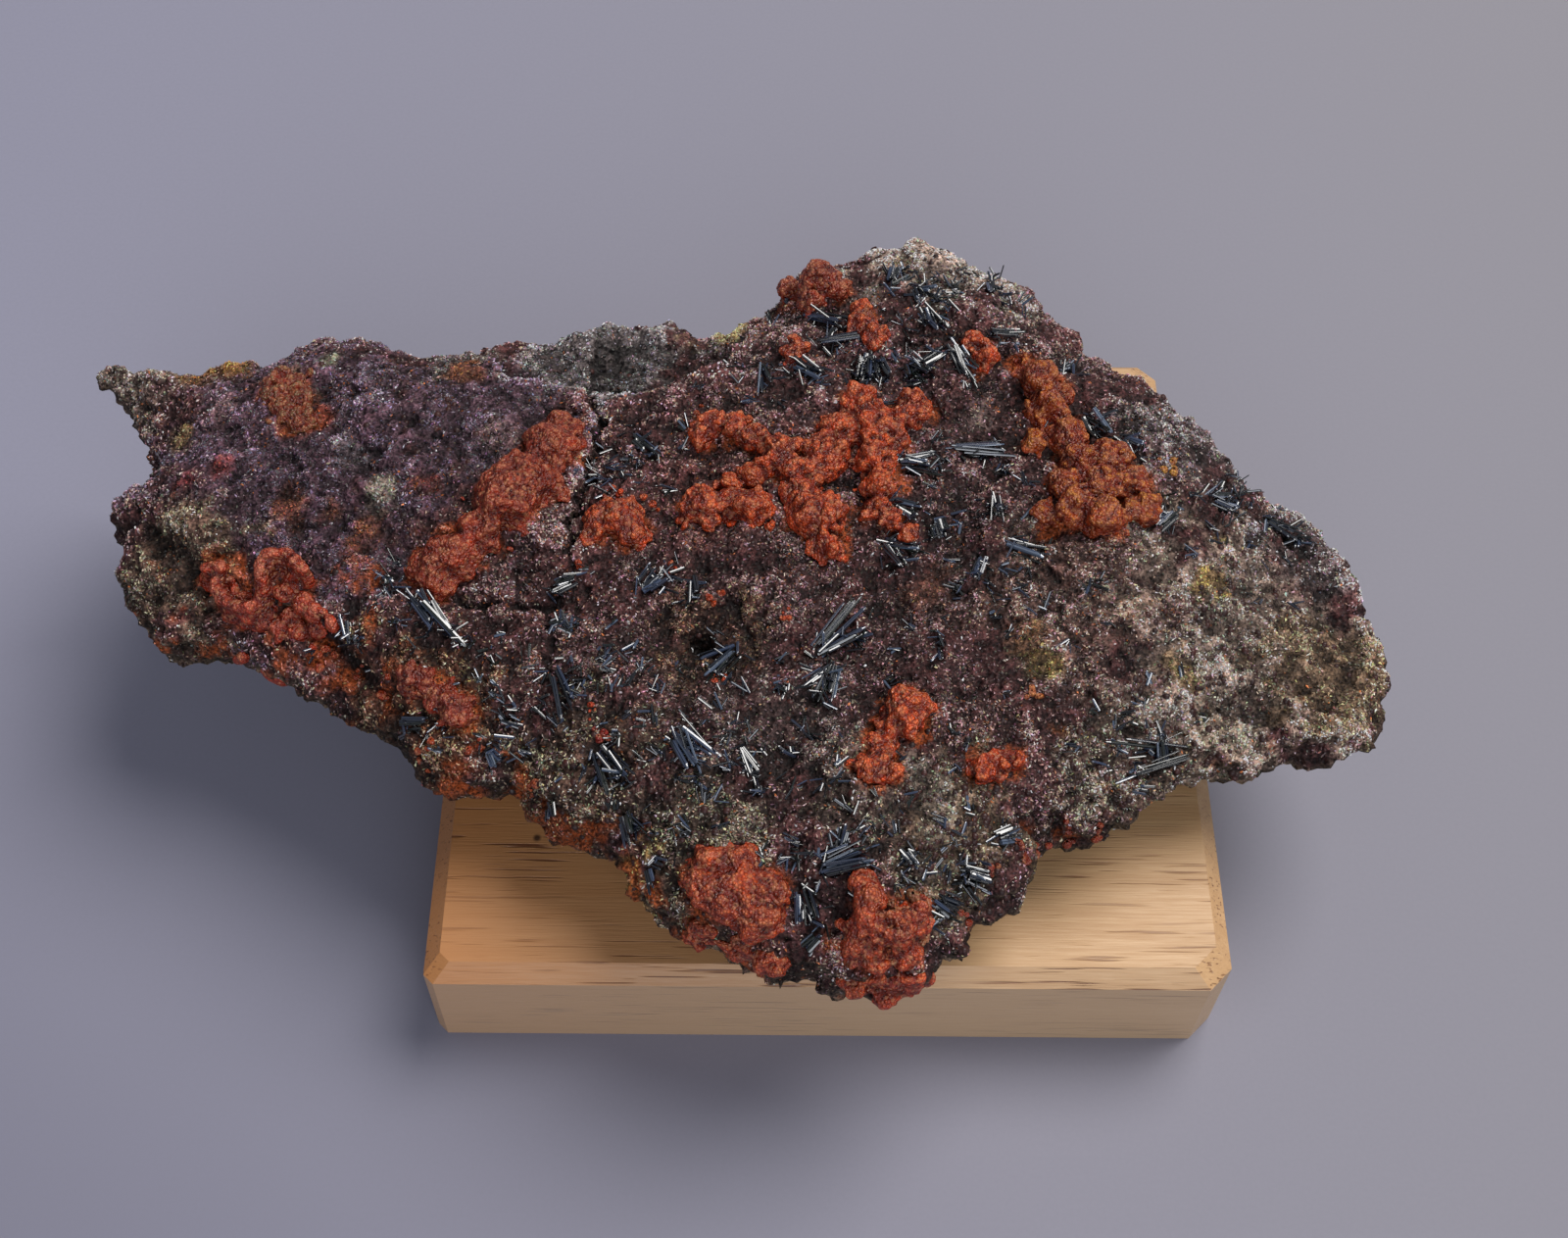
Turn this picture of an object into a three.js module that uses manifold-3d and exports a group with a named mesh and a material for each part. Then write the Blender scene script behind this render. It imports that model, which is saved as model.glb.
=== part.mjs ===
// A slab of hutchinsonite ore on a square softwood display block.
// Units are millimetres, +Z is up, and the origin is the centre of the block's underside.
// +X runs along the slab's long side, and -Y is the side that the specimen is looked at from.

import * as THREE from "three";
import { mergeVertices } from "three/addons/utils/BufferGeometryUtils.js";
import Module from "manifold-3d";

const wasm = await Module();
wasm.setup();

// Driving dimensions of the display block
const blockWidth = 120;
const blockDepth = 121;
const blockHeight = 21;
const topChamfer = 2.5;
const cornerCuts = { frontRight: 3.5, backRight: 3, backLeft: 2, frontLeft: 1.5 };

// Driving dimensions of the slab
const seatGap = 0.3;
const seatLevel = blockHeight + seatGap;
const slabCentre = new THREE.Vector2(-10, 5);
const rimHeight = 38;
const rimSlopeBack = 0.035;
const rimSlopeEnds = 0.012;
const crownRise = 11;
const crownReach = 16;
const crownCurve = 2.2;
const shoulderRise = 6;
const shoulderInset = 2.2;
const keelDepth = 1.5;
const keelReach = 30;
const keelCurve = 2.1;
const undercutCurve = 1.5;
const edgeRounding = 5;
const edgeFullness = 0.7;
// Rock noise: size of its features, height on the crown, height added on the underside
const broadNoise = { size: 22, crown: 0.9, underside: 1.4 };
const fineNoise = { size: 11, crown: 0.8, underside: 0.7, shift: 50 };
const undersideStart = -6;
const undersideEnd = -14;
// The box that the slab's lattice fills, past its widest line, its seat and its highest swell
const slabRoom = { low: [-126, -72, 17.82], high: [92, 74, 60] };
const slabNet = 5.8;
// Shape of the broken sides, by direction from the centre in degrees:
// how far the side drops below the widest line, and how far it runs in under it
const sideProfiles = [
  [-180, 12, 4], [-150, 11, 8], [-120, 12, 10], [-95, 14, 6], [-78, 15, 5], [-60, 12, 10],
  [-35, 9, 12], [-12, 11, 8], [15, 14, 4], [45, 15, 3], [75, 15, 5], [100, 12, 8],
  [130, 14, 4], [155, 13, 6], [180, 12, 4],
];

// The slab's widest line in plan, anticlockwise from the left tip as seen from above
const rimOutline = [
  [-121, 37.5], [-120, 34.5], [-116, 31.5], [-111, 25], [-108, 18], [-108.5, 15], [-110.5, 14.5],
  [-113.5, 11], [-109, 5.5], [-109.5, 0], [-106, -7.5], [-100.5, -12.5], [-92, -12], [-89, -13.5],
  [-82.5, -17.5], [-72, -25], [-61.5, -34], [-57.5, -37], [-47, -38], [-40, -44.5], [-34, -46.5],
  [-30.5, -48.5], [-27.5, -52.5], [-21, -58], [-12.5, -62.5], [-8, -64.5], [-3.5, -63.5],
  [-1.5, -64], [3, -67], [9, -67.5], [11.5, -66.5], [13.5, -63], [17.5, -61], [18.5, -57.5],
  [21.5, -56.5], [25.5, -53.5], [27.5, -49], [28.5, -46], [33, -44], [37, -44], [43, -42],
  [51, -35], [57.5, -33], [64.5, -32], [72.5, -31], [79.5, -28.5], [83.5, -23], [85.5, -17.5],
  [85.5, -13.5], [84, -8], [82, 0], [79, 6], [75.5, 12.5], [69, 18], [62.5, 28.5], [57.5, 32.5],
  [52.5, 39], [44, 42.5], [40.5, 48], [37.5, 54], [33, 59], [26.5, 61], [21.5, 65.5],
  [14.5, 68.5], [4.5, 65], [2, 62.5], [-3.5, 63], [-8, 60.5], [-11, 54], [-16, 49], [-23, 48.5],
  [-26, 50.5], [-34.5, 50], [-46, 47], [-52.5, 48], [-57.5, 46.5], [-60, 43.5], [-67, 42.5],
  [-75, 46], [-84, 45.5], [-89, 43], [-92.5, 40.5], [-100, 42], [-104, 38.5], [-106, 38.5],
  [-112.5, 40], [-116.5, 41], [-120, 40],
];

// The broken back ledge starts along this line and lies lower than the crown
const backLedgeLine = [[-66, 40], [-56, 36], [-51, 28], [-38, 28], [-31, 27], [-17, 33], [-12, 44]];
const backLedgeDrop = 5.5;
const backLedgeWidth = 3.5;
// The lower shelf at the left end starts along this line
const endShelfLine = [[-113, 13], [-101, 3], [-96, -2], [-87, -8], [-74, -14], [-66, -22]];
const endShelfDrop = 4.5;
const endShelfWidth = 4;
const ledgeFade = 5;
const reliefAtRim = 0.3;
const reliefReach = 7;
// The left plate stands proud of the crown up to a crack
const plate = { edgeX: -38.5, edgeWidth: 4, frontY: -8, frontWidth: 8, rise: 1.6 };
// Hollows and swells: centre x and y, radius, height
const swells = [
  [-19, -20, 13, -2.4], [-52, -29, 10, -1.6], [22, 36, 22, 2.2], [-62, 14, 24, 1.8],
  [2, -44, 16, 1.6], [-96, 27, 13, -1.8], [62, -8, 20, 1.2], [-4, 22, 12, 1.4],
];
const rightFlank = { x: 34, y: -8, nx: 0.88, ny: -0.47, reach: 46, drop: 7 };

// Orange crusts grown on the slab, as overlapping lumps: centre x and y, radius.
// Height is the lumps' height above their centres, in radii, and net is how far apart
// the points of the crust's surface are.
const crusts = {
  left_curl: {
    height: 1.9,
    net: 2.4,
    lumps: [
      [-94.5, -5.5, 2], [-91.5, -6, 2], [-93, -8.2, 2], [-91.3, -10.3, 2], [-88.8, -12, 2],
      [-86.2, -12.8, 2], [-84.5, -11, 1.9], [-84.8, -8.8, 1.9], [-83.5, -6.5, 2], [-80.8, -6.5, 2.1],
      [-78.3, -8.3, 2], [-83, -13.5, 2.2], [-80, -14, 2.3], [-77, -14.2, 2.2],
    ],
  },
  diagonal: {
    height: 1.05,
    net: 2.6,
    lumps: [
      [-60, -6.5, 3.3], [-56, -4.5, 3.5], [-59, -9, 2], [-52.8, -1.5, 2.9], [-49.5, 3.5, 4.3],
      [-47, 7.5, 4.5], [-43.5, 13.5, 3.6], [-42, 18.5, 2.7],
    ],
  },
  beside_crack: {
    height: 1,
    net: 2,
    lumps: [[-32.2, 2.3, 2.9], [-35.1, 2, 1.9], [-36, -0.2, 1.7], [-30, -0.5, 2]],
  },
  centre: {
    height: 1.1,
    net: 2.9,
    lumps: [
      [-20.3, 17.3, 2], [-18, 19.5, 2.2], [-14.8, 18.5, 2.4], [-11.5, 16.5, 2.6], [-8, 14.5, 3.2],
      [-10.3, 12.5, 2.4], [-12.8, 10.3, 2.2], [-15.3, 8.5, 2], [-20, 3.5, 2.9], [-16, 4.3, 3],
      [-12, 3.8, 3], [-5.3, 10.5, 3], [-4.5, 6.5, 3.1], [-2.3, 2.3, 4.1], [-1.2, -2.8, 2.4],
      [-1, 13.5, 4], [1.5, 18.5, 3.2], [4.5, 23.5, 3.2], [6.3, 18.5, 3.2], [7, 13.3, 3.4], [7.5, 8.3, 2.9],
      [10, 17, 2.2], [12.8, 22.8, 3.1], [9.3, 21.3, 2.2], [6.3, 4.3, 2.2], [9, 2.6, 1.8],
      [11.3, 0.8, 1.8],
    ],
  },
  right: {
    height: 1,
    net: 2.9,
    lumps: [
      [31, 31.8, 2.2], [33.5, 29.8, 3.5], [37, 27.7, 2.3], [34.3, 24.2, 3.6], [36.3, 18.8, 3.2],
      [32, 18, 2], [38.5, 14, 3.2], [43.8, 14.5, 3.1], [41.2, 9.3, 3.2], [46, 9.3, 2.9],
      [47.3, 5.3, 2.6], [36.5, 9, 2.6], [37, 4.5, 2.9], [33.3, 3.8, 2.2], [41, 2.5, 3.3],
    ],
  },
  back: { height: 1, net: 2.1, lumps: [[-5.5, 52, 2.6], [-1.2, 51, 3.2], [-2.5, 48, 2.3], [1.5, 49, 2]] },
  back_right: { height: 0.9, net: 1.9, lumps: [[5, 43, 1.9], [6, 40.6, 2.3], [7.2, 38, 2]] },
  back_dot: { height: 0.9, net: 1.6, lumps: [[-5.5, 36, 2.1]] },
  back_far: { height: 1, net: 1.9, lumps: [[23.4, 35.8, 2], [24.1, 33, 2.1]] },
  left_front: {
    height: 0.8,
    net: 1.9,
    lumps: [[-61.8, -24.3, 2], [-59.6, -25, 2.2], [-57.4, -27, 2.3], [-54.8, -29, 2.7]],
  },
  front: {
    height: 0.85,
    net: 2,
    lumps: [
      [10.2, -30, 3.1], [12.8, -30.6, 1.8], [10.8, -33, 2], [7.8, -32.8, 2.1], [6.8, -35.6, 2],
      [6.6, -38.3, 2.2], [7.6, -41, 2.1], [4.6, -40.8, 2.2],
    ],
  },
  front_right: { height: 0.8, net: 1.7, lumps: [[21.5, -39, 2], [23.6, -38.6, 1.9], [25.5, -38, 1.8]] },
  nose_left: {
    height: 0.75,
    net: 2.3,
    lumps: [[-16, -56, 2.6], [-19, -57.3, 2.6], [-14.5, -58.7, 3.5], [-10.5, -60.8, 3.3]],
  },
  nose_right: {
    height: 0.8,
    net: 2.2,
    lumps: [[4.8, -59.4, 2.5], [4.5, -62.6, 2.5], [7.8, -62, 2.6], [11, -60.4, 2.6]],
  },
  left_top: { height: 0.8, net: 2, lumps: [[-86, 22.5, 2.6], [-83.5, 20.5, 2.8]] },
};

// Crystals laid out in sprays on the slab: root x and y, heading in degrees, length,
// number of blades, angle over which they fan out
const sprays = {
  left_blade: [-61.2, -12.6, -53, 10.7, 3, 8],
  left_pale: [-71.8, -14.5, -66, 5.8, 2, 16],
  left_hollow: [-40.6, -24, -66, 8.1, 2, 10],
  low_left: [-33, -37.5, -59, 7.1, 3, 26],
  low_middle: [-22.4, -35.2, -53, 9.5, 3, 26],
  low_dark: [-12.7, -37.7, -61, 7.2, 2, 16],
  middle_dark: [-14.7, -19.9, -131, 7.4, 3, 36],
  middle_low: [-0.3, -23.1, -119, 7.1, 3, 36],
  middle_bright: [-1.7, -19.9, 35, 9.7, 3, 24],
  pale_plate: [22.8, -4, -102, 4.4, 2, 6],
  over_centre: [-10.8, 32, -82, 7.5, 2, 10],
  back_bright: [-4.8, 33, -42, 7.2, 3, 12],
  back_dark: [-3.5, 45, -36, 8, 2, 10],
  back_fan: [6, 34.5, -95, 5, 3, 34],
  back_large: [15.6, 42.8, -59, 6.4, 2, 12],
  back_right: [26.4, 37.6, -2, 5.4, 2, 14],
  back_centre: [19.5, 34.6, -64, 8.4, 3, 16],
  centre_fan: [11.4, 12.9, -11, 6.8, 3, 36],
  centre_low: [8.6, -2.2, -58, 6.5, 2, 14],
  upright: [24.9, 6.9, -85, 5.6, 2, 8],
  right_flat: [27, -1.2, -13, 7.3, 2, 12],
  long_green: [19.4, 16, 5, 9.4, 2, 6],
  right_top: [40.6, 22.6, -47, 5.9, 3, 20],
  front_right: [50.8, -33.5, -165, 12.5, 3, 20],
  over_nose: [-1, -54.4, 14, 7.2, 3, 14],
  nose: [-4.6, -57.5, -69, 5.2, 2, 12],
  left_centre: [-30.6, 17.9, -53, 6.7, 2, 20],
  crack_bright: [-28, -9.9, 41, 5.2, 3, 26],
  right_rim: [69.1, 8.1, -34, 6.1, 2, 24],
};
const contactGap = 0.35;
const lumpLift = 0.15;
const bladeWidth = 1.1;
const bladeThickness = 0.75;
const bladeChisel = 0.5;
const bladeSpacing = 0.66;
const shortBlade = 0.8;
const rootLift = 0.3;
const rootStep = 0.25;
const tipLift = 1.1;

function smoothstep(low, high, value) {
  return THREE.MathUtils.smoothstep(value, low, high);
}

// The larger of two values, rounded over where they are nearly equal
function smoothMax(a, b, rounding) {
  const overlap = Math.max(rounding - Math.abs(a - b), 0) / rounding;
  return Math.max(a, b) + (overlap * overlap * rounding) / 4;
}

// A repeatable value from 0 to 1 for each point of a whole-number lattice
function latticeValue(i, j, k) {
  const mixed = Math.sin(i * 127.1 + j * 311.7 + k * 74.7) * 43758.5453;
  return mixed - Math.floor(mixed);
}

// Smooth rock noise, about -1 to 1, with features of the given size
function rockNoise(x, y, z, size) {
  const place = [x / size, y / size, z / size];
  const cell = place.map(Math.floor);
  const ease = place.map((value, axis) => smoothstep(0, 1, value - cell[axis]));
  let sum = 0;
  for (let corner = 0; corner < 8; corner++) {
    const step = [corner & 1, (corner >> 1) & 1, corner >> 2];
    const weight = step.reduce((w, s, axis) => w * (s ? ease[axis] : 1 - ease[axis]), 1);
    sum += weight * latticeValue(cell[0] + step[0], cell[1] + step[1], cell[2] + step[2]);
  }
  return 2 * sum - 1;
}

// Height of a polyline that runs from low x to high x
function lineAt(line, x) {
  if (x <= line[0][0]) return line[0][1];
  for (let i = 1; i < line.length; i++) {
    const [x0, y0] = line[i - 1];
    const [x1, y1] = line[i];
    if (x <= x1) return THREE.MathUtils.mapLinear(x, x0, x1, y0, y1);
  }
  return line[line.length - 1][1];
}

// Fades a ledge out past the ends of its line
function within(line, x) {
  const start = line[0][0];
  const end = line[line.length - 1][0];
  return smoothstep(start - ledgeFade, start, x) * (1 - smoothstep(end, end + ledgeFade, x));
}

// Rises from 0 at the widest line to 1 at a reach inside it, along a curve that levels off
function risen(inside, reach, curve) {
  return 1 - Math.pow(1 - THREE.MathUtils.clamp(inside / reach, 0, 1), curve);
}

// Distance in plan from the widest line, positive inside it
function insideOutline(x, y) {
  let nearest = Infinity;
  let inside = false;
  rimOutline.forEach(([x0, y0], i) => {
    const [x1, y1] = rimOutline[(i + 1) % rimOutline.length];
    const length = (x1 - x0) ** 2 + (y1 - y0) ** 2;
    const share = THREE.MathUtils.clamp(((x - x0) * (x1 - x0) + (y - y0) * (y1 - y0)) / length, 0, 1);
    const gap = Math.hypot(x - x0 - share * (x1 - x0), y - y0 - share * (y1 - y0));
    nearest = Math.min(nearest, gap);
    const crosses = y0 > y !== y1 > y && x < x0 + ((y - y0) * (x1 - x0)) / (y1 - y0);
    if (crosses) inside = !inside;
  });
  return inside ? nearest : -nearest;
}

// Height of the slab's widest line
function rimLevel(x, y) {
  return rimHeight + rimSlopeBack * y - rimSlopeEnds * Math.abs(x - slabCentre.x);
}

function sideProfile(x, y) {
  const degrees = THREE.MathUtils.radToDeg(Math.atan2(y - slabCentre.y, x - slabCentre.x));
  const drops = sideProfiles.map(([angle, drop]) => [angle, drop]);
  const undercuts = sideProfiles.map(([angle, , undercut]) => [angle, undercut]);
  return { drop: lineAt(drops, degrees), undercut: lineAt(undercuts, degrees) };
}

// Relief of the crown over the plain dome: ledges, the raised plate, the flank and the swells
function crownRelief(x, y) {
  const behindLedge = y - lineAt(backLedgeLine, x);
  const beforeShelf = lineAt(endShelfLine, x) - y;
  const alongFlank = (x - rightFlank.x) * rightFlank.nx + (y - rightFlank.y) * rightFlank.ny;
  const leftOfCrack = 1 - smoothstep(0, plate.edgeWidth, x - plate.edgeX + plate.edgeWidth / 2);
  const behindFront = smoothstep(0, plate.frontWidth, y - plate.frontY);
  let relief = plate.rise * leftOfCrack * behindFront;
  relief -= backLedgeDrop * smoothstep(0, backLedgeWidth, behindLedge) * within(backLedgeLine, x);
  relief -= endShelfDrop * smoothstep(0, endShelfWidth, beforeShelf) * within(endShelfLine, x);
  relief -= rightFlank.drop * smoothstep(0, rightFlank.reach, alongFlank);
  for (const [cx, cy, radius, height] of swells) {
    relief += height * (1 - smoothstep(0, radius, Math.hypot(x - cx, y - cy)));
  }
  return relief;
}

// Distance from the slab's surface, about in millimetres, positive outside it
function slabField(x, y, z) {
  const inside = insideOutline(x, y);
  const rim = rimLevel(x, y);
  const { drop, undercut } = sideProfile(x, y);
  const crownShare = risen(inside, crownReach, crownCurve);
  const keelShare = risen(inside, keelReach, keelCurve);
  const reliefShare = THREE.MathUtils.lerp(reliefAtRim, 1, smoothstep(0, reliefReach, inside));
  const dome = THREE.MathUtils.lerp(shoulderRise, crownRise, crownShare);
  const crown = rim + dome + crownRelief(x, y) * reliefShare;
  const keel = THREE.MathUtils.lerp(rim - drop, seatLevel - keelDepth, keelShare);
  const above = Math.max(0, z - rim) / shoulderRise;
  const below = Math.max(0, rim - z) / drop;
  const side = shoulderInset * above ** 2 + undercut * below ** undercutCurve - inside;
  const under = smoothstep(undersideStart, undersideEnd, z - rim);
  const broad = broadNoise.crown + broadNoise.underside * under;
  const fine = fineNoise.crown + fineNoise.underside * under;
  let field = smoothMax(z - crown, side, edgeRounding);
  field = smoothMax(field, keel - z, edgeRounding) - edgeFullness * (1 - crownShare);
  field -= broad * rockNoise(x, y, z, broadNoise.size);
  field -= fine * rockNoise(x + fineNoise.shift, y, z, fineNoise.size);
  return Math.max(field, seatLevel - z);
}

// A point moved onto the surface where the field is zero, without leaving its cell
function settle(point, field, cell) {
  const step = 0.05;
  const passes = 5;
  const leastSlope = 0.25;
  for (let pass = 0; pass < passes; pass++) {
    const { x, y, z } = point;
    const value = field(x, y, z);
    const slope = new THREE.Vector3(
      field(x + step, y, z) - field(x - step, y, z),
      field(x, y + step, z) - field(x, y - step, z),
      field(x, y, z + step) - field(x, y, z - step),
    ).divideScalar(2 * step);
    point.addScaledVector(slope, -value / Math.max(slope.lengthSq(), leastSlope));
    point.clamp(cell.min, cell.max);
  }
  return point;
}

// A closed mesh of which only the positions are kept, with shared vertices merged
function welded(geometry) {
  geometry.deleteAttribute("normal");
  geometry.deleteAttribute("uv");
  return mergeVertices(geometry, 1e-4);
}

function toManifold(geometry) {
  const closed = welded(geometry);
  return new wasm.Manifold(
    new wasm.Mesh({
      numProp: 3,
      vertProperties: closed.attributes.position.array,
      triVerts: new Uint32Array(closed.index.array),
    }),
  );
}

function toGeometry(solid) {
  const mesh = solid.getMesh();
  const geometry = new THREE.BufferGeometry();
  geometry.setAttribute("position", new THREE.BufferAttribute(mesh.vertProperties, 3));
  geometry.setIndex(new THREE.BufferAttribute(mesh.triVerts, 1));
  geometry.computeVertexNormals();
  return geometry;
}

// The groups of joined inside corners of a lattice cell, each with the mean of the places,
// as shares of the cell, where the surface crosses the cell's edges around that group.
// Corner numbers hold one bit for each axis.
function cellGroups(corners) {
  const groups = [];
  const seen = new Set();
  for (let first = 0; first < 8; first++) {
    if (corners[first] >= 0 || seen.has(first)) continue;
    const members = [first];
    const crossings = [];
    seen.add(first);
    for (const member of members) {
      for (let axis = 0; axis < 3; axis++) {
        const next = member ^ (1 << axis);
        if (corners[next] >= 0) {
          const place = [member & 1, (member >> 1) & 1, member >> 2];
          const share = corners[member] / (corners[member] - corners[next]);
          place[axis] = place[axis] ? 1 - share : share;
          crossings.push(new THREE.Vector3(...place));
        } else if (!seen.has(next)) {
          seen.add(next);
          members.push(next);
        }
      }
    }
    if (crossings.length === 0) continue;
    const middle = crossings.reduce((sum, c) => sum.add(c), new THREE.Vector3());
    groups.push({ members, middle: middle.divideScalar(crossings.length) });
  }
  return groups;
}

// A closed mesh over the surface where a field is zero: a point for every group of inside
// corners in a lattice cell, and two triangles over every lattice edge that is crossed
function netGeometry(field, low, high, spacing) {
  const size = [0, 1, 2].map((axis) => Math.ceil((high[axis] - low[axis]) / spacing) + 1);
  const strides = [1, size[0], size[0] * size[1]];
  const total = size[0] * size[1] * size[2];
  const place = (node) => {
    const [row, layer] = [Math.floor(node / strides[1]), Math.floor(node / strides[2])];
    const steps = [node % size[0], row % size[1], layer];
    return new THREE.Vector3(...steps).multiplyScalar(spacing).add(new THREE.Vector3(...low));
  };
  const values = Float64Array.from({ length: total }, (_, node) => {
    const { x, y, z } = place(node);
    return field(x, y, z);
  });
  const points = new Map();
  const positions = [];
  const reach = strides[0] + strides[1] + strides[2];
  const cellMargin = 0.06 * spacing;
  for (let cell = 0; cell + reach < total; cell++) {
    const corners = Array.from({ length: 8 }, (_, corner) => {
      const [x, y, z] = [corner & 1, (corner >> 1) & 1, corner >> 2];
      return values[cell + x * strides[0] + y * strides[1] + z * strides[2]];
    });
    if (corners.every((value) => value < 0) || corners.every((value) => value >= 0)) continue;
    const box = new THREE.Box3(place(cell), place(cell).addScalar(spacing)).expandByScalar(-cellMargin);
    for (const { members, middle } of cellGroups(corners)) {
      for (const member of members) points.set(8 * cell + member, positions.length / 3);
      const start = middle.multiplyScalar(spacing).add(place(cell));
      positions.push(...settle(start, field, box).toArray());
    }
  }
  const indices = [];
  for (let node = 0; node + reach < total; node++) {
    for (let axis = 0; axis < 3; axis++) {
      const outward = values[node] < 0 && values[node + strides[axis]] >= 0;
      const inward = values[node] >= 0 && values[node + strides[axis]] < 0;
      if (!outward && !inward) continue;
      const [u, v] = [(axis + 1) % 3, (axis + 2) % 3];
      const corner = outward ? 0 : 1 << axis;
      const quad = [[1, 1], [0, 1], [0, 0], [1, 0]].map(([back, down]) => {
        const cell = node - back * strides[u] - down * strides[v];
        return points.get(8 * cell + corner + (back << u) + (down << v));
      });
      if (inward) quad.reverse();
      const [a, b, c, d] = quad;
      indices.push(a, b, c, a, c, d);
    }
  }
  const geometry = new THREE.BufferGeometry();
  geometry.setAttribute("position", new THREE.Float32BufferAttribute(positions, 3));
  geometry.setIndex(indices);
  geometry.computeVertexNormals();
  return geometry;
}

// The biggest of a solid's separate bodies
function mainBody(solid) {
  return solid.decompose().sort((a, b) => b.volume() - a.volume())[0];
}

function matrixSolid() {
  return mainBody(toManifold(netGeometry(slabField, slabRoom.low, slabRoom.high, slabNet)));
}

// Where the slab's upper surface lies under a point in plan, and which way it faces there
function groundAt(x, y) {
  const normal = new THREE.Vector3();
  const spread = 1.5;
  const overhead = 100;
  const casts = [[0, 0], [spread, 0], [-spread, 0], [0, spread], [0, -spread]].map(([dx, dy]) => {
    downward.ray.origin.set(x + dx, y + dy, overhead);
    return downward.intersectObject(matrixMesh)[0];
  });
  for (const cast of casts) if (cast) normal.add(cast.face.normal);
  return { point: casts[0].point, normal: normal.normalize() };
}

// A solid cut off just above the slab, so that a thin gap is left between them
function seated(solid, normal) {
  const raised = matrix.translate(normal.clone().multiplyScalar(contactGap).toArray());
  return mainBody(solid.subtract(raised));
}

// A crust's lumps as one solid, each lump standing square to the slab under it
function crustSolid({ height, net, lumps }, growth = 0) {
  const upright = new THREE.Vector3(0, 0, 1);
  const placed = lumps.map(([x, y, radius]) => {
    const { point, normal } = groundAt(x, y);
    const centre = point.addScaledVector(normal, lumpLift * radius);
    return { centre, radius, turn: new THREE.Quaternion().setFromUnitVectors(normal, upright) };
  });
  const field = (x, y, z) => {
    const distances = placed.map(({ centre, radius, turn }) => {
      const local = new THREE.Vector3(x, y, z).sub(centre).applyQuaternion(turn);
      local.z /= height;
      return local.length() - radius;
    });
    return Math.min(...distances) - growth;
  };
  const room = new THREE.Box3().setFromPoints(placed.map(({ centre }) => centre));
  room.expandByScalar(Math.max(...lumps.map((lump) => lump[2])) * Math.max(1, height) + net);
  return toManifold(netGeometry(field, room.min.toArray(), room.max.toArray(), net));
}

// A flat crystal from its root to its tip, with a chisel end
function bladeGeometry(root, tip, normal) {
  const along = tip.clone().sub(root);
  const blade = new THREE.BoxGeometry(along.length(), bladeWidth, bladeThickness);
  const corners = blade.attributes.position;
  for (let i = 0; i < corners.count; i++) {
    if (corners.getX(i) > 0 && corners.getZ(i) > 0) corners.setX(i, corners.getX(i) - bladeChisel);
  }
  along.normalize();
  const across = normal.clone().cross(along).normalize();
  const basis = new THREE.Matrix4().makeBasis(along, across, along.clone().cross(across));
  basis.setPosition(root.clone().lerp(tip, 0.5));
  return blade.applyMatrix4(basis);
}

// A spray's blades as one solid, fanned out and stacked in turn at their shared root
function spraySolid([x, y, heading, length, count, fan]) {
  const root = groundAt(x, y);
  const blades = Array.from({ length: count }, (_, i) => {
    const share = i / (count - 1) - 0.5;
    const turn = THREE.MathUtils.degToRad(heading + share * fan);
    const reach = i % 2 ? shortBlade * length : length;
    const end = groundAt(x + reach * Math.cos(turn), y + reach * Math.sin(turn));
    const aside = share * (count - 1) * bladeSpacing;
    const slip = new THREE.Vector3(-Math.sin(turn), Math.cos(turn), 0).multiplyScalar(aside);
    const lift = rootLift + rootStep * (i % 2);
    const start = root.point.clone().addScaledVector(root.normal, lift).add(slip);
    const finish = end.point.clone().addScaledVector(end.normal, tipLift).add(slip);
    return bladeGeometry(start, finish, root.normal);
  });
  return { solid: wasm.Manifold.union(blades.map(toManifold)), normal: root.normal };
}

// The block's eight-sided outline, drawn in from its full size by an inset
function blockOutline(inset) {
  const x = blockWidth / 2 - inset;
  const y = blockDepth / 2 - inset;
  const { frontRight, backRight, backLeft, frontLeft } = cornerCuts;
  return [
    [-x + frontLeft, -y], [x - frontRight, -y], [x, -y + frontRight], [x, y - backRight],
    [x - backRight, y], [-x + backLeft, y], [-x, y - backLeft], [-x, -y + frontLeft],
  ];
}

function blockGeometry() {
  const levels = [
    [0, 0],
    [blockHeight - topChamfer, 0],
    [blockHeight, topChamfer],
  ];
  const rings = levels.map(([z, inset]) => blockOutline(inset).map(([x, y]) => [x, y, z]));
  const count = rings[0].length;
  const indices = [];
  for (let level = 0; level + 1 < rings.length; level++) {
    for (let i = 0; i < count; i++) {
      const a = level * count + i;
      const b = level * count + ((i + 1) % count);
      indices.push(a, b, b + count, a, b + count, a + count);
    }
  }
  const top = (rings.length - 1) * count;
  for (let i = 1; i + 1 < count; i++) {
    indices.push(0, i + 1, i, top, top + i, top + i + 1);
  }
  const geometry = new THREE.BufferGeometry();
  geometry.setAttribute("position", new THREE.Float32BufferAttribute(rings.flat(2), 3));
  geometry.setIndex(indices);
  geometry.computeVertexNormals();
  return geometry;
}

const rock = new THREE.MeshStandardMaterial({ color: 0x5d5152, roughness: 0.85, metalness: 0.05 });
const orangeCrust = new THREE.MeshStandardMaterial({
  color: 0xb4532a,
  roughness: 0.6,
  metalness: 0,
});
const crystal = new THREE.MeshStandardMaterial({ color: 0x2b333d, roughness: 0.25, metalness: 0.6 });
const pine = new THREE.MeshStandardMaterial({ color: 0xc89a62, roughness: 0.6, metalness: 0 });

const specimen = new THREE.Group();

function addPiece(name, geometry, material) {
  const mesh = new THREE.Mesh(geometry, material);
  mesh.name = name;
  specimen.add(mesh);
  return mesh;
}

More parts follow.
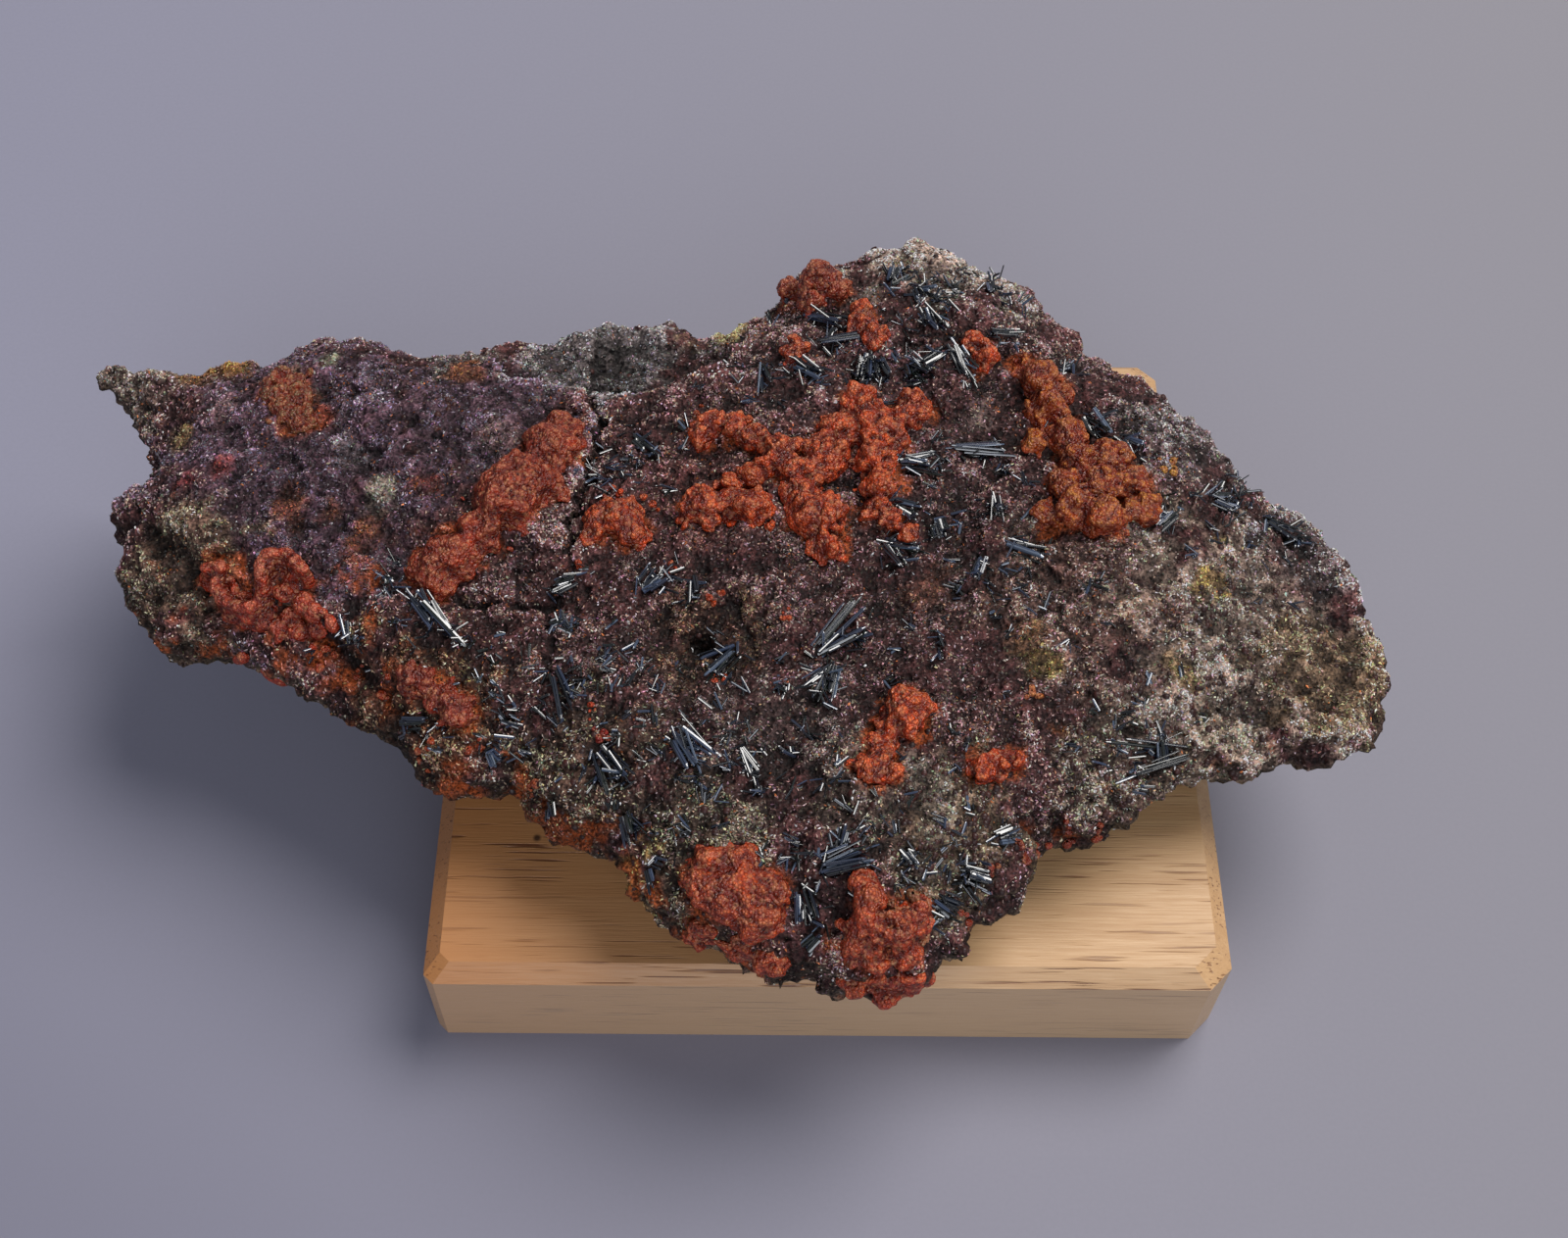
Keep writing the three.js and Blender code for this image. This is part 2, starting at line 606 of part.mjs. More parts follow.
addPiece("display_block", blockGeometry(), pine);
const matrix = matrixSolid();
const matrixMesh = addPiece("matrix", toGeometry(matrix), rock);
const downward = new THREE.Raycaster(new THREE.Vector3(), new THREE.Vector3(0, 0, -1));

for (const [name, crust] of Object.entries(crusts)) {
  const [x, y] = crust.lumps[0];
  const solid = seated(crustSolid(crust), groundAt(x, y).normal);
  addPiece(`crust_${name}`, toGeometry(solid), orangeCrust);
}

const crustRoom = wasm.Manifold.union(Object.values(crusts).map((c) => crustSolid(c, contactGap)));
for (const [name, spray] of Object.entries(sprays)) {
  const { solid, normal } = spraySolid(spray);
  const crystals = seated(solid.subtract(crustRoom), normal);
  addPiece(`crystals_${name}`, toGeometry(crystals), crystal);
}

export default specimen;
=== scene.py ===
# The hutchinsonite specimen dressed for rendering.
# Numbers are millimetres until a mesh is made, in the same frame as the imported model.

import math

import bpy
import numpy as np
from mathutils import Matrix, Vector


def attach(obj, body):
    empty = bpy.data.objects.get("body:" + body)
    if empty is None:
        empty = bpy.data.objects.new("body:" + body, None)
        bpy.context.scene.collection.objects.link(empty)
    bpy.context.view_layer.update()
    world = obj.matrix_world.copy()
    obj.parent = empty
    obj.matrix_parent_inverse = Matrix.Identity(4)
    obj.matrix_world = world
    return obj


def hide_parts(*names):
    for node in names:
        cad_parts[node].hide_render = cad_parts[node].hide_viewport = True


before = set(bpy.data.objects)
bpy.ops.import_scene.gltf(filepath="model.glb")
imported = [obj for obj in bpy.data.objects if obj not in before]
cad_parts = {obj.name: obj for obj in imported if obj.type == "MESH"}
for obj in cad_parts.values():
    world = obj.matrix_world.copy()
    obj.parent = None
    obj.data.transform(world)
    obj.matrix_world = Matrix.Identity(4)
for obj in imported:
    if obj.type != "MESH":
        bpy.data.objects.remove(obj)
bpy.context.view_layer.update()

MILLIMETRE = 0.001
rng = np.random.default_rng(11)

# The slab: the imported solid's named values, with a trimmed back edge and cracks added
SEAT_LEVEL = 21.3
SLAB_CENTRE = (-10, 5)
RIM_HEIGHT = 38
RIM_SLOPE_BACK = 0.035
RIM_SLOPE_ENDS = 0.012
CROWN_RISE = 11
CROWN_REACH = 16
CROWN_CURVE = 2.2
SHOULDER_RISE = 6
SHOULDER_INSET = 2.2
KEEL_DEPTH = 1.5
KEEL_REACH = 30
KEEL_CURVE = 2.1
UNDERCUT_CURVE = 1.5
EDGE_ROUNDING = 5
EDGE_FULLNESS = 0.7
# How far the dressed slab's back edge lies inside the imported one's, as seen in the photo, and
# the stretch in y over which the trim grows to that
BACK_TRIM = 2.0
TRIM_START, TRIM_END = -5, 30
# Short blades stand no nearer than this to the widest line
CROWN_MARGIN = 2.0
SLAB_NET = 0.77
SLAB_LOW = (-124, -71, 20.9)
SLAB_HIGH = (89, 73, 57)
# Angle from the centre, drop of the side below the widest line, undercut of the side
SIDE_PROFILES = [
    (-180, 12, 4), (-150, 11, 8), (-120, 12, 10), (-95, 14, 6), (-78, 15, 5), (-60, 12, 10),
    (-35, 9, 12), (-12, 11, 8), (15, 14, 4), (45, 15, 3), (75, 15, 5), (100, 12, 8),
    (130, 14, 4), (155, 13, 6), (180, 12, 4),
]
RIM_OUTLINE = [
    (-121, 37.5), (-120, 34.5), (-116, 31.5), (-111, 25), (-108, 18), (-108.5, 15), (-110.5, 14.5),
    (-113.5, 11), (-109, 5.5), (-109.5, 0), (-106, -7.5), (-100.5, -12.5), (-92, -12), (-89, -13.5),
    (-82.5, -17.5), (-72, -25), (-61.5, -34), (-57.5, -37), (-47, -38), (-40, -44.5), (-34, -46.5),
    (-30.5, -48.5), (-27.5, -52.5), (-21, -58), (-12.5, -62.5), (-8, -64.5), (-3.5, -63.5),
    (-1.5, -64), (3, -67), (9, -67.5), (11.5, -66.5), (13.5, -63), (17.5, -61), (18.5, -57.5),
    (21.5, -56.5), (25.5, -53.5), (27.5, -49), (28.5, -46), (33, -44), (37, -44), (43, -42),
    (51, -35), (57.5, -33), (64.5, -32), (72.5, -31), (79.5, -28.5), (83.5, -23), (85.5, -17.5),
    (85.5, -13.5), (84, -8), (82, 0), (79, 6), (75.5, 12.5), (69, 18), (62.5, 28.5), (57.5, 32.5),
    (52.5, 39), (44, 42.5), (40.5, 48), (37.5, 54), (33, 59), (26.5, 61), (21.5, 65.5),
    (14.5, 68.5), (4.5, 65), (2, 62.5), (-3.5, 63), (-8, 60.5), (-11, 54), (-16, 49), (-23, 48.5),
    (-26, 50.5), (-34.5, 50), (-46, 47), (-52.5, 48), (-57.5, 46.5), (-60, 43.5), (-67, 42.5),
    (-75, 46), (-84, 45.5), (-89, 43), (-92.5, 40.5), (-100, 42), (-104, 38.5), (-106, 38.5),
    (-112.5, 40), (-116.5, 41), (-120, 40),
]
BACK_LEDGE = [(-66, 40), (-56, 36), (-51, 28), (-38, 28), (-31, 27), (-17, 33), (-12, 44)]
BACK_LEDGE_DROP = 5.5
END_SHELF = [(-113, 13), (-101, 3), (-96, -2), (-87, -8), (-74, -14), (-66, -22)]
END_SHELF_DROP = 4.5
LEDGE_FADE = 5
PLATE_RISE = 1.6
# The right flank's slope: where it starts, which way it falls, how far and how deep
RIGHT_FLANK = (34, -8, 0.88, -0.47, 46, 7)
# Hollows and swells: centre, radius, height
SWELLS = [
    (-19, -20, 13, -2.4), (-52, -29, 10, -1.6), (22, 36, 22, 2.2), (-62, 14, 24, 1.8),
    (2, -44, 16, 1.6), (-96, 27, 13, -1.8), (62, -8, 20, 1.2), (-4, 22, 12, 1.4),
]
# The crack beside the raised plate, from back to front, the finer one that crosses its foot, and
# the faint one along the top of the right flank
PLATE_CRACK = [
    (-38.7, 28.4), (-36.4, 20.4), (-36.7, 14.5), (-38.9, 6.8), (-39.9, -2.5), (-39.4, -9.7),
    (-42.1, -13.3), (-41.8, -25.3),
]
CROSS_CRACK = [(-61.3, -10), (-55.4, -10.8), (-48, -12), (-42.1, -12.8), (-36.5, -9.7)]
FLANK_LINE = [(31.5, -1.6), (34.7, -17.6), (39.5, -29.4), (48.6, -37.4)]
SMALL_HOLLOW = (-19.4, -18.2)
# The slab's unevenness: amount, how much more under the rim, size of the waves, shift
SLAB_WAVES = [(0.9, 1.4, 22, 0), (0.8, 0.7, 11, 50), (1.1, 0, 6.4, 7), (0.75, 0, 3.1, 3)]
STEEPEST = 1.2

# Orange crusts: height of the lumps in radii, then the lumps
CRUSTS = {
    "left_curl": (0.6, [
        (-94.5, -5.5, 1.6), (-91.5, -6, 1.4), (-83, -13.5, 1.8), (-80, -14, 1.9), (-77, -14.2, 1.8),
        (-88.5, -9, 1.5), (-86.5, -10.2, 1.4), (-82, -10, 1.6), (-79, -11.5, 1.8), (-74.5, -14.5, 1.2),
        (-90.7, -7.6, 1.7), (-81, -8.4, 1.4), (-85, -12.5, 1.8), (-81, -12.4, 1.8), (-77.3, -12.8, 1.6),
    ]),
    "diagonal": (1.05, [
        (-60, -6.5, 3.3), (-56, -4.5, 3.5), (-59, -9, 2), (-52.8, -1.5, 3.1), (-49.5, 3.5, 4.7),
        (-47, 7.5, 4.9), (-43.5, 13.5, 3.9), (-42, 18.5, 2.6),
    ]),
    "beside_crack": (1, [(-32.2, 2.3, 2.9), (-35.1, 2, 1.9), (-36, -0.2, 1.7), (-30, -0.5, 2)]),
    "centre": (1.1, [
        (-20.3, 17.3, 1.8), (-18, 19.5, 2), (-14.8, 18.5, 2.2), (-11.5, 16.5, 2.4), (-8, 14.5, 2.9),
        (-10.3, 12.5, 2.1), (-12.8, 10.3, 2), (-15.3, 8.5, 1.8), (-20, 3.5, 2.7), (-16, 4.3, 2.8),
        (-12, 3.8, 2.8), (-5.3, 10.5, 2.8), (-4.5, 6.5, 2.9), (-2.3, 2.3, 3.9), (-1.2, -2.8, 2.3),
        (-1, 13.5, 3.8), (1.5, 18.5, 3), (4.5, 23.5, 3), (6.3, 18.5, 3), (7, 13.3, 3.2),
        (7.5, 8.3, 2.7), (10, 17, 2.1), (12.8, 22.8, 2.9), (9.3, 21.3, 2.1), (6.3, 4.3, 2.1),
        (9, 2.6, 1.7), (11.3, 0.8, 1.7),
    ]),
    "right": (1, [
        (31, 31.8, 2.1), (33.5, 29.8, 3.3), (37, 27.7, 2.2), (34.3, 24.2, 3.4), (36.3, 18.8, 3),
        (32, 18, 1.9), (38.5, 14, 3), (43.8, 14.5, 2.9), (41.2, 9.3, 3), (46, 9.3, 2.7),
        (47.3, 5.3, 2.5), (36.5, 9, 2.5), (37, 4.5, 2.8), (33.3, 3.8, 2.1), (41, 2.5, 3.1),
    ]),
    "back": (1, [(-5.5, 52, 2.5), (-1.2, 51, 3), (-2.5, 48, 2.2), (1.5, 49, 1.9)]),
    "back_right": (0.9, [(5, 43, 1.8), (6, 40.6, 2.2), (7.2, 38, 1.9)]),
    "back_dot": (0.9, [(-5.5, 36, 2)]),
    "back_far": (1, [(23.4, 35.8, 1.9), (24.1, 33, 2)]),
    "left_front": (0.8, [(-61.8, -24.3, 1.9), (-59.6, -25, 2.1), (-57.4, -27, 2.2), (-54.8, -29, 2.6)]),
    "front": (0.85, [
        (10.2, -30, 2.9), (12.8, -30.6, 1.7), (10.8, -33, 1.9), (7.8, -32.8, 2), (6.8, -35.6, 1.9),
        (6.6, -38.3, 2.1), (7.6, -41, 2), (4.6, -40.8, 2.1),
    ]),
    "front_right": (0.8, [(21.5, -39, 1.9), (23.6, -38.6, 1.8), (25.5, -38, 1.7)]),
    "nose_left": (0.75, [
        (-16, -56, 2.7), (-18.5, -56.5, 2.7), (-14.5, -58, 3.6), (-10.5, -60.2, 3.2), (-17, -53.8, 2),
        (-12.4, -55.4, 2.8), (-9.4, -57.4, 2.6), (-13.6, -53.8, 1.9),
    ]),
    "nose_right": (0.8, [
        (4.8, -59.4, 2.4), (4.5, -62.6, 2.6), (7.8, -62.5, 2.5), (11, -60.4, 2.5), (3.4, -64.6, 2.2),
        (5.6, -65.4, 2.4), (9.4, -64.6, 2.2), (4, -57.2, 1.8),
    ]),
    "left_top": (0.7, [
        (-86, 22.5, 2.5), (-83.5, 20.5, 2.7), (-86.5, 27, 3.0), (-83.6, 24.5, 2.4), (-88.4, 25, 2.2),
    ]),
}
# Where crusts hang over the slab's rim: place, reach
OVERHANGS = {
    "nose_left": [(-17, -59.5, 36, 3.4), (-12.5, -61.5, 35.5, 3.4), (-8.5, -63, 36, 2.6)],
    "nose_right": [(3.5, -65.5, 36, 3.0), (7, -66.5, 35.5, 3.2), (10.5, -65, 36, 2.6)],
    "left_curl": [(-84, -16, 36, 2.2), (-89, -13.5, 36, 2)],
    "left_front": [(-57, -32, 36, 2.2), (-62, -29, 36, 2)],
}
# The curled ribbon of the left crust, from its left end round to its right tail
CURL_RIBBON = [
    (-94.5, -5.5), (-91.5, -6.2), (-92.6, -8.6), (-91, -10.8), (-88.4, -12.2), (-86, -12.2),
    (-84.9, -10.4), (-84.9, -8.2), (-83.2, -6.6), (-80.6, -6.8), (-78.3, -8.6),
]
CURL_HEIGHT = 3.8
CURL_HALF_WIDTH = 0.8
CURL_STEPS = 90
CURL_LEVELS = (0.1, 0.4, 0.7, 1.0)
CURL_ROUGHNESS = 0.45
CRUST_NET = 0.34
# Crusts that look like one granular mass: how far their small lumps are sunk, in radii, and how
# widely the lumps run into each other
GRANULAR_CRUSTS = {
    "diagonal": (0.26, 1.2), "nose_left": (0.3, 1.2), "nose_right": (0.24, 0.8),
    "left_curl": (0.42, 0.5), "beside_crack": (0.26, 1.0), "front": (0.22, 0.9),
}
# The same two values for the other crusts
LOOSE_CRUST = (0.04, 0.25)

# Sprays of blades: root, heading, length, number of main blades, fan angle
SPRAYS = {
    "left_blade": (-61.2, -12.6, -53, 10.7, 3, 8),
    "left_pale": (-71.8, -14.5, -66, 5.8, 2, 16),
    "left_hollow": (-40.6, -24, -66, 8.1, 2, 10),
    "low_left": (-33, -37.5, -59, 7.1, 3, 26),
    "low_middle": (-22.4, -35.2, -53, 9.5, 3, 26),
    "low_dark": (-12.7, -37.7, -61, 7.2, 2, 16),
    "middle_dark": (-14.7, -19.9, -131, 7.4, 3, 36),
    "middle_low": (-0.3, -23.1, -119, 7.1, 3, 36),
    "middle_bright": (-1.7, -19.9, 35, 9.7, 3, 24),
    "pale_plate": (22.8, -4, -102, 4.4, 2, 6),
    "over_centre": (-10.8, 32, -82, 7.5, 2, 10),
    "back_bright": (-4.8, 33, -42, 7.2, 3, 12),
    "back_dark": (-3.5, 45, -36, 8, 2, 10),
    "back_fan": (6, 34.5, -95, 5, 3, 34),
    "back_large": (15.6, 42.8, -59, 6.4, 2, 12),
    "back_right": (26.4, 37.6, -2, 5.4, 2, 14),
    "back_centre": (19.5, 34.6, -64, 8.4, 3, 16),
    "centre_fan": (11.4, 12.9, -11, 6.8, 3, 36),
    "centre_low": (8.6, -2.2, -58, 6.5, 2, 14),
    "upright": (24.9, 6.9, -85, 5.6, 2, 8),
    "right_flat": (27, -1.2, -13, 7.3, 2, 12),
    "long_green": (19.4, 16, 5, 9.4, 2, 6),
    "right_top": (40.6, 22.6, -47, 5.9, 3, 20),
    "front_right": (50.8, -33.5, -165, 12.5, 3, 20),
    "over_nose": (-1, -54.4, 14, 7.2, 3, 14),
    "nose": (-4.6, -57.5, -69, 5.2, 2, 12),
    "left_centre": (-30.6, 17.9, -53, 6.7, 2, 20),
    "crack_bright": (-28, -9.9, 41, 5.2, 3, 26),
    "right_rim": (69.1, 8.1, -34, 6.1, 2, 24),
}
# Smaller sprays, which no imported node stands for
SMALL_SPRAYS = [
    (4.7, 38.8, -160, 7.5, 2, 10), (7.3, 33.6, -74, 4.7, 3, 20), (17.9, 33.9, -140, 4.5, 2, 12),
    (12.9, 32.5, -66, 5.6, 3, 30), (9.8, 5.5, -24, 5.2, 3, 22), (9.2, -1.6, -12, 4.6, 2, 8),
    (16.4, 3.4, -76, 3.3, 3, 6), (49.9, 3.4, 59, 4.5, 4, 30), (46.4, 18.4, -59, 3.6, 2, 6),
    (48.1, -35, 99, 4.1, 2, 20), (0.4, -52.8, 68, 4.5, 2, 10), (-2.3, -62.8, -149, 3.6, 2, 10),
    (9.6, -52.2, -58, 3.8, 2, 10), (14.3, -58, -9, 4.3, 3, 20), (-40.3, -42.7, -62, 3, 2, 14),
    (-29.1, -46.1, -57, 4.1, 3, 20), (-25.5, -53, -37, 3.1, 3, 30), (23.2, -48.8, 28, 4.7, 3, 16),
    (-20.9, -9, -84, 5, 2, 12), (-49.6, -34.4, -41, 3, 3, 30), (60, 9.8, -20, 4.7, 3, 30),
    (-63.7, -29.9, -20, 5.7, 2, 6), (18.7, -54.3, -20, 4.2, 3, 24), (37.4, 33.6, 3, 2.1, 2, 8),
    (10.3, 50.2, 53, 4.2, 3, 30), (14.8, 48.6, -50, 3.7, 3, 50), (26.7, 49.9, -81, 4.2, 2, 16),
    (-67, -8.6, -35, 2.2, 2, 8), (-38.9, -8.7, -153, 3.7, 2, 14),
]

# The camera, fitted to the block's corners
CAMERA_PLACE = (-9.842, -180.136, 294.892)
CAMERA_PITCH = 56.2
CAMERA_YAW = 0.918
CAMERA_ROLL = 1.335
CAMERA_LENS = 46.072
SENSOR_WIDTH = 36

# The block's knot and its soft edges
KNOT = (-44.5, -37.5, 21)
BLOCK_BEVEL = 0.4
BEVEL_SEGMENTS = 3

# The studio, in metres and watts
KEY_PLACE = (0.7, 0.5, 1.43)
KEY_SIZE = 1.2
KEY_POWER = 31.5
KEY_COLOUR = (1.0, 0.98, 0.95)
FILL_PLACE = (0.15, -1.3, 0.75)
FILL_SIZE = 1.3
FILL_POWER = 12.0
FILL_COLOUR = (0.88, 0.92, 1.0)
LIGHT_TARGET = (0, 0, 0.03)
WORLD_COLOUR = (0.64, 0.67, 0.76, 1)
WORLD_STRENGTH = 0.28
FLOOR_SIZE = 6


def smoothstep(low, high, value):
    share = np.clip((value - low) / (high - low), 0, 1)
    return share * share * (3 - 2 * share)


def smooth_max(a, b, rounding):
    overlap = np.maximum(rounding - np.abs(a - b), 0) / rounding
    return np.maximum(a, b) + overlap * overlap * rounding / 4


def smooth_min(a, b, rounding):
    return -smooth_max(-a, -b, rounding)


def blend(a, b, share):
    return a + share * (b - a)


def away_from(x, y, points):
    """Distance in plan of each point from one place."""
    return np.hypot(points[:, 0] - x, points[:, 1] - y)


def unit(vectors):
    return vectors / np.maximum(np.linalg.norm(vectors, axis=-1, keepdims=True), 1e-9)


def linear(red, green, blue):
    """A colour given in 0 to 255 as it looks, in the linear values that shading uses."""
    share = np.array([red, green, blue], float) / 255
    return np.where(share <= 0.04045, share / 12.92, ((share + 0.055) / 1.055) ** 2.4)


def lattice_values(i, j, k):
    mixed = np.sin(i * 127.1 + j * 311.7 + k * 74.7) * 43758.5453
    return mixed - np.floor(mixed)


def lattice_share(places, size):
    """Weights that blend the whole-number lattice at each of a row of places."""
    cells = np.floor(places / size).astype(int)
    ease = smoothstep(0, 1, places / size - cells)
    first = cells.min()
    weights = np.zeros((len(places), cells.max() - first + 2))
    rows = np.arange(len(places))
    weights[rows, cells - first] = 1 - ease
    weights[rows, cells - first + 1] += ease
    return first, weights


def grid_noise(xs, ys, zs, size, shift=0):
    """Noise on a whole lattice of points at once."""
    (i, a), (j, b), (k, c) = (lattice_share(v, size) for v in (xs + shift, ys, zs))
    steps = np.ogrid[i:i + a.shape[1], j:j + b.shape[1], k:k + c.shape[1]]
    return 2 * np.einsum("il,jm,kn,lmn->ijk", a, b, c, lattice_values(*steps), optimize=True) - 1


def point_noise(points, size, shift=0.0):
    """The same noise at scattered points."""
    places = points / size + shift
    cells = np.floor(places).astype(int)
    ease = smoothstep(0, 1, places - cells)
    total = np.zeros(len(points))
    for corner in range(8):
        step = np.array([corner & 1, (corner >> 1) & 1, corner >> 2])
        weight = np.prod(np.where(step, ease, 1 - ease), axis=1)
        total += weight * lattice_values(*(cells + step).T)
    return 2 * total - 1


def cell_noise(points, size, shift=0.0):
    """Distance to the nearest of a jittered lattice of seeds, in cells, and that seed's value."""
    places = points / size + shift
    cells = np.floor(places).astype(int)
    nearest = np.full(len(points), 9.0)
    owner = np.zeros(len(points))
    for step in np.ndindex(3, 3, 3):
        i, j, k = (cells + np.array(step) - 1).T
        seed = np.stack([lattice_values(i + axis * 17, j - axis * 31, k) for axis in range(3)], axis=1)
        gap = np.linalg.norm(np.stack([i, j, k], axis=1) + seed - places, axis=1)
        closer = gap < nearest
        nearest[closer] = gap[closer]
        owner[closer] = lattice_values(i + 5, j + 9, k + 13)[closer]
    return nearest, owner


def line_at(line, x):
    return np.interp(x, [p[0] for p in line], [p[1] for p in line])


def line_gap(line, x, y):
    """Distance in plan from a polyline."""
    nearest = np.full(np.shape(x), 1e9)
    for (x0, y0), (x1, y1) in zip(line, line[1:]):
        length = (x1 - x0) ** 2 + (y1 - y0) ** 2
        share = np.clip(((x - x0) * (x1 - x0) + (y - y0) * (y1 - y0)) / length, 0, 1)
        gap = np.hypot(x - x0 - share * (x1 - x0), y - y0 - share * (y1 - y0))
        nearest = np.minimum(nearest, gap)
    return nearest


def within(line, x):
    start, end = line[0][0], line[-1][0]
    return smoothstep(start - LEDGE_FADE, start, x) * (1 - smoothstep(end, end + LEDGE_FADE, x))


def risen(inside, reach, curve):
    return 1 - (1 - np.clip(inside / reach, 0, 1)) ** curve


def inside_outline(x, y):
    """Distance in plan from the widest line, positive inside it."""
    closed = RIM_OUTLINE + RIM_OUTLINE[:1]
    inside = np.zeros(np.shape(x), bool)
    for (x0, y0), (x1, y1) in zip(closed, closed[1:]):
        if y0 == y1:
            continue
        inside ^= ((y0 > y) != (y1 > y)) & (x < x0 + (y - y0) * (x1 - x0) / (y1 - y0))
    return np.where(inside, 1, -1) * line_gap(closed, x, y)


def trimmed_inside(x, y):
    """The same distance for the dressed slab, whose back edge is trimmed."""
    return inside_outline(x, y) - BACK_TRIM * smoothstep(TRIM_START, TRIM_END, y)


def rim_level(x, y):
    return RIM_HEIGHT + RIM_SLOPE_BACK * y - RIM_SLOPE_ENDS * np.abs(x - SLAB_CENTRE[0])


def crown_relief(x, y):
    crack_x = np.interp(-y, [-p[1] for p in PLATE_CRACK], [p[0] for p in PLATE_CRACK])
    along_flank = (x - RIGHT_FLANK[0]) * RIGHT_FLANK[2] + (y - RIGHT_FLANK[1]) * RIGHT_FLANK[3]
    behind_ledge = y - line_at(BACK_LEDGE, x)
    before_shelf = line_at(END_SHELF, x) - y
    relief = PLATE_RISE * (1 - smoothstep(-0.9, 0.5, x - crack_x)) * smoothstep(0, 8, y + 8)
    relief = relief - BACK_LEDGE_DROP * smoothstep(0, 2.2, behind_ledge) * within(BACK_LEDGE, x)
    relief -= END_SHELF_DROP * smoothstep(0, 3, before_shelf) * within(END_SHELF, x)
    relief -= RIGHT_FLANK[5] * smoothstep(0, RIGHT_FLANK[4], along_flank)
    for cx, cy, radius, height in SWELLS:
        relief += height * (1 - smoothstep(0, radius, np.hypot(x - cx, y - cy)))
    return relief


def crack_depth(x, y):
    """How deep the cracks and the small hollow cut into the crown."""
    wander = 0.5 * np.sin(y * 1.1) + 0.4 * np.sin(y * 0.47 + 1)
    plate_gap = line_gap(PLATE_CRACK, x + wander, y)
    depth = (0.9 + 1.9 * smoothstep(-6, 2, y)) * (1 - smoothstep(0.2, 0.8, plate_gap))
    depth = depth + 1.1 * (1 - smoothstep(0.3, 1.0, line_gap(CROSS_CRACK, x, y + wander)))
    depth += 0.7 * (1 - smoothstep(0.3, 1.2, line_gap(FLANK_LINE, x + wander, y)))
    hollow_gap = np.hypot(x - SMALL_HOLLOW[0], y - SMALL_HOLLOW[1])
    depth += 2.2 * (1 - smoothstep(0.5, 3.2, hollow_gap))
    return depth


def slab_volume(xs, ys, zs):
    """The slab's field on a lattice: about the distance from its surface, positive outside."""
    x, y = np.meshgrid(xs, ys, indexing="ij")
    inside = trimmed_inside(x, y)
    degrees = np.degrees(np.arctan2(y - SLAB_CENTRE[1], x - SLAB_CENTRE[0]))
    drop = line_at([(a, d) for a, d, u in SIDE_PROFILES], degrees)
    undercut = line_at([(a, u) for a, d, u in SIDE_PROFILES], degrees)
    rim = rim_level(x, y)
    crown_share = risen(inside, CROWN_REACH, CROWN_CURVE)
    keel_share = risen(inside, KEEL_REACH, KEEL_CURVE)
    relief = (crown_relief(x, y) - crack_depth(x, y)) * (0.3 + 0.7 * smoothstep(0, 7, inside))
    crown = rim + SHOULDER_RISE + (CROWN_RISE - SHOULDER_RISE) * crown_share + relief
    keel = (rim - drop) * (1 - keel_share) + (SEAT_LEVEL - KEEL_DEPTH) * keel_share
    z = zs[None, None, :]
    rim, drop, undercut, inside = (v[:, :, None] for v in (rim, drop, undercut, inside))
    above = np.maximum(0, z - rim) / SHOULDER_RISE
    below = np.maximum(0, rim - z) / drop
    side = SHOULDER_INSET * above ** 2 + undercut * below ** UNDERCUT_CURVE - inside
    under = smoothstep(-6, -14, z - rim)
    field = smooth_max(z - crown[:, :, None], side, EDGE_ROUNDING)
    field = smooth_max(field, keel[:, :, None] - z, EDGE_ROUNDING)
    field -= EDGE_FULLNESS * (1 - crown_share[:, :, None])
    for amount, more_under, size, shift in SLAB_WAVES:
        field -= (amount + more_under * under) * grid_noise(xs, ys, zs, size, shift)
    return np.maximum(field, SEAT_LEVEL - z)


CORNERS = np.array([[c & 1, (c >> 1) & 1, c >> 2] for c in range(8)])
EDGES = [(c, c | (1 << axis)) for axis in range(3) for c in range(8) if not c & (1 << axis)]


def surface_net(values, low, spacing):
    """Points and quads over the surface where a field on a lattice is zero."""
    inside = values < 0
    nx, ny, nz = values.shape
    count = sum(
        inside[a:nx - 1 + a, b:ny - 1 + b, c:nz - 1 + c].astype(np.int8) for a, b, c in CORNERS
    )
    active = (count > 0) & (count < 8)
    cells = np.argwhere(active)
    number = np.full(active.shape, -1)
    number[active] = np.arange(len(cells))
    held = np.stack([values[tuple((cells + corner).T)] for corner in CORNERS], axis=1)
    total = np.zeros((len(cells), 3))
    hits = np.zeros(len(cells))
    for a, b in EDGES:
        crossed = (held[:, a] < 0) != (held[:, b] < 0)
        share = held[crossed, a] / (held[crossed, a] - held[crossed, b])
        total[crossed] += blend(CORNERS[a], CORNERS[b], share[:, None])
        hits[crossed] += 1
    points = np.array(low) + spacing * (cells + total / hits[:, None])
    quads = []
    for axis in range(3):
        u, v = (axis + 1) % 3, (axis + 2) % 3
        here = np.take(inside, range(inside.shape[axis] - 1), axis=axis)
        there = np.take(inside, range(1, inside.shape[axis]), axis=axis)
        steps = np.eye(3, dtype=int)
        for flipped, crossed in ((False, here & ~there), (True, ~here & there)):
            ends = np.argwhere(crossed)
            ends = ends[(ends[:, u] > 0) & (ends[:, v] > 0)]
            ends = ends[(ends[:, u] < inside.shape[u] - 1) & (ends[:, v] < inside.shape[v] - 1)]
            around = [(1, 1), (0, 1), (0, 0), (1, 0)]
            quad = [number[tuple((ends - a * steps[u] - b * steps[v]).T)] for a, b in around]
            quads.append(np.stack(quad[::-1] if flipped else quad, axis=1))
    return points, np.concatenate(quads)


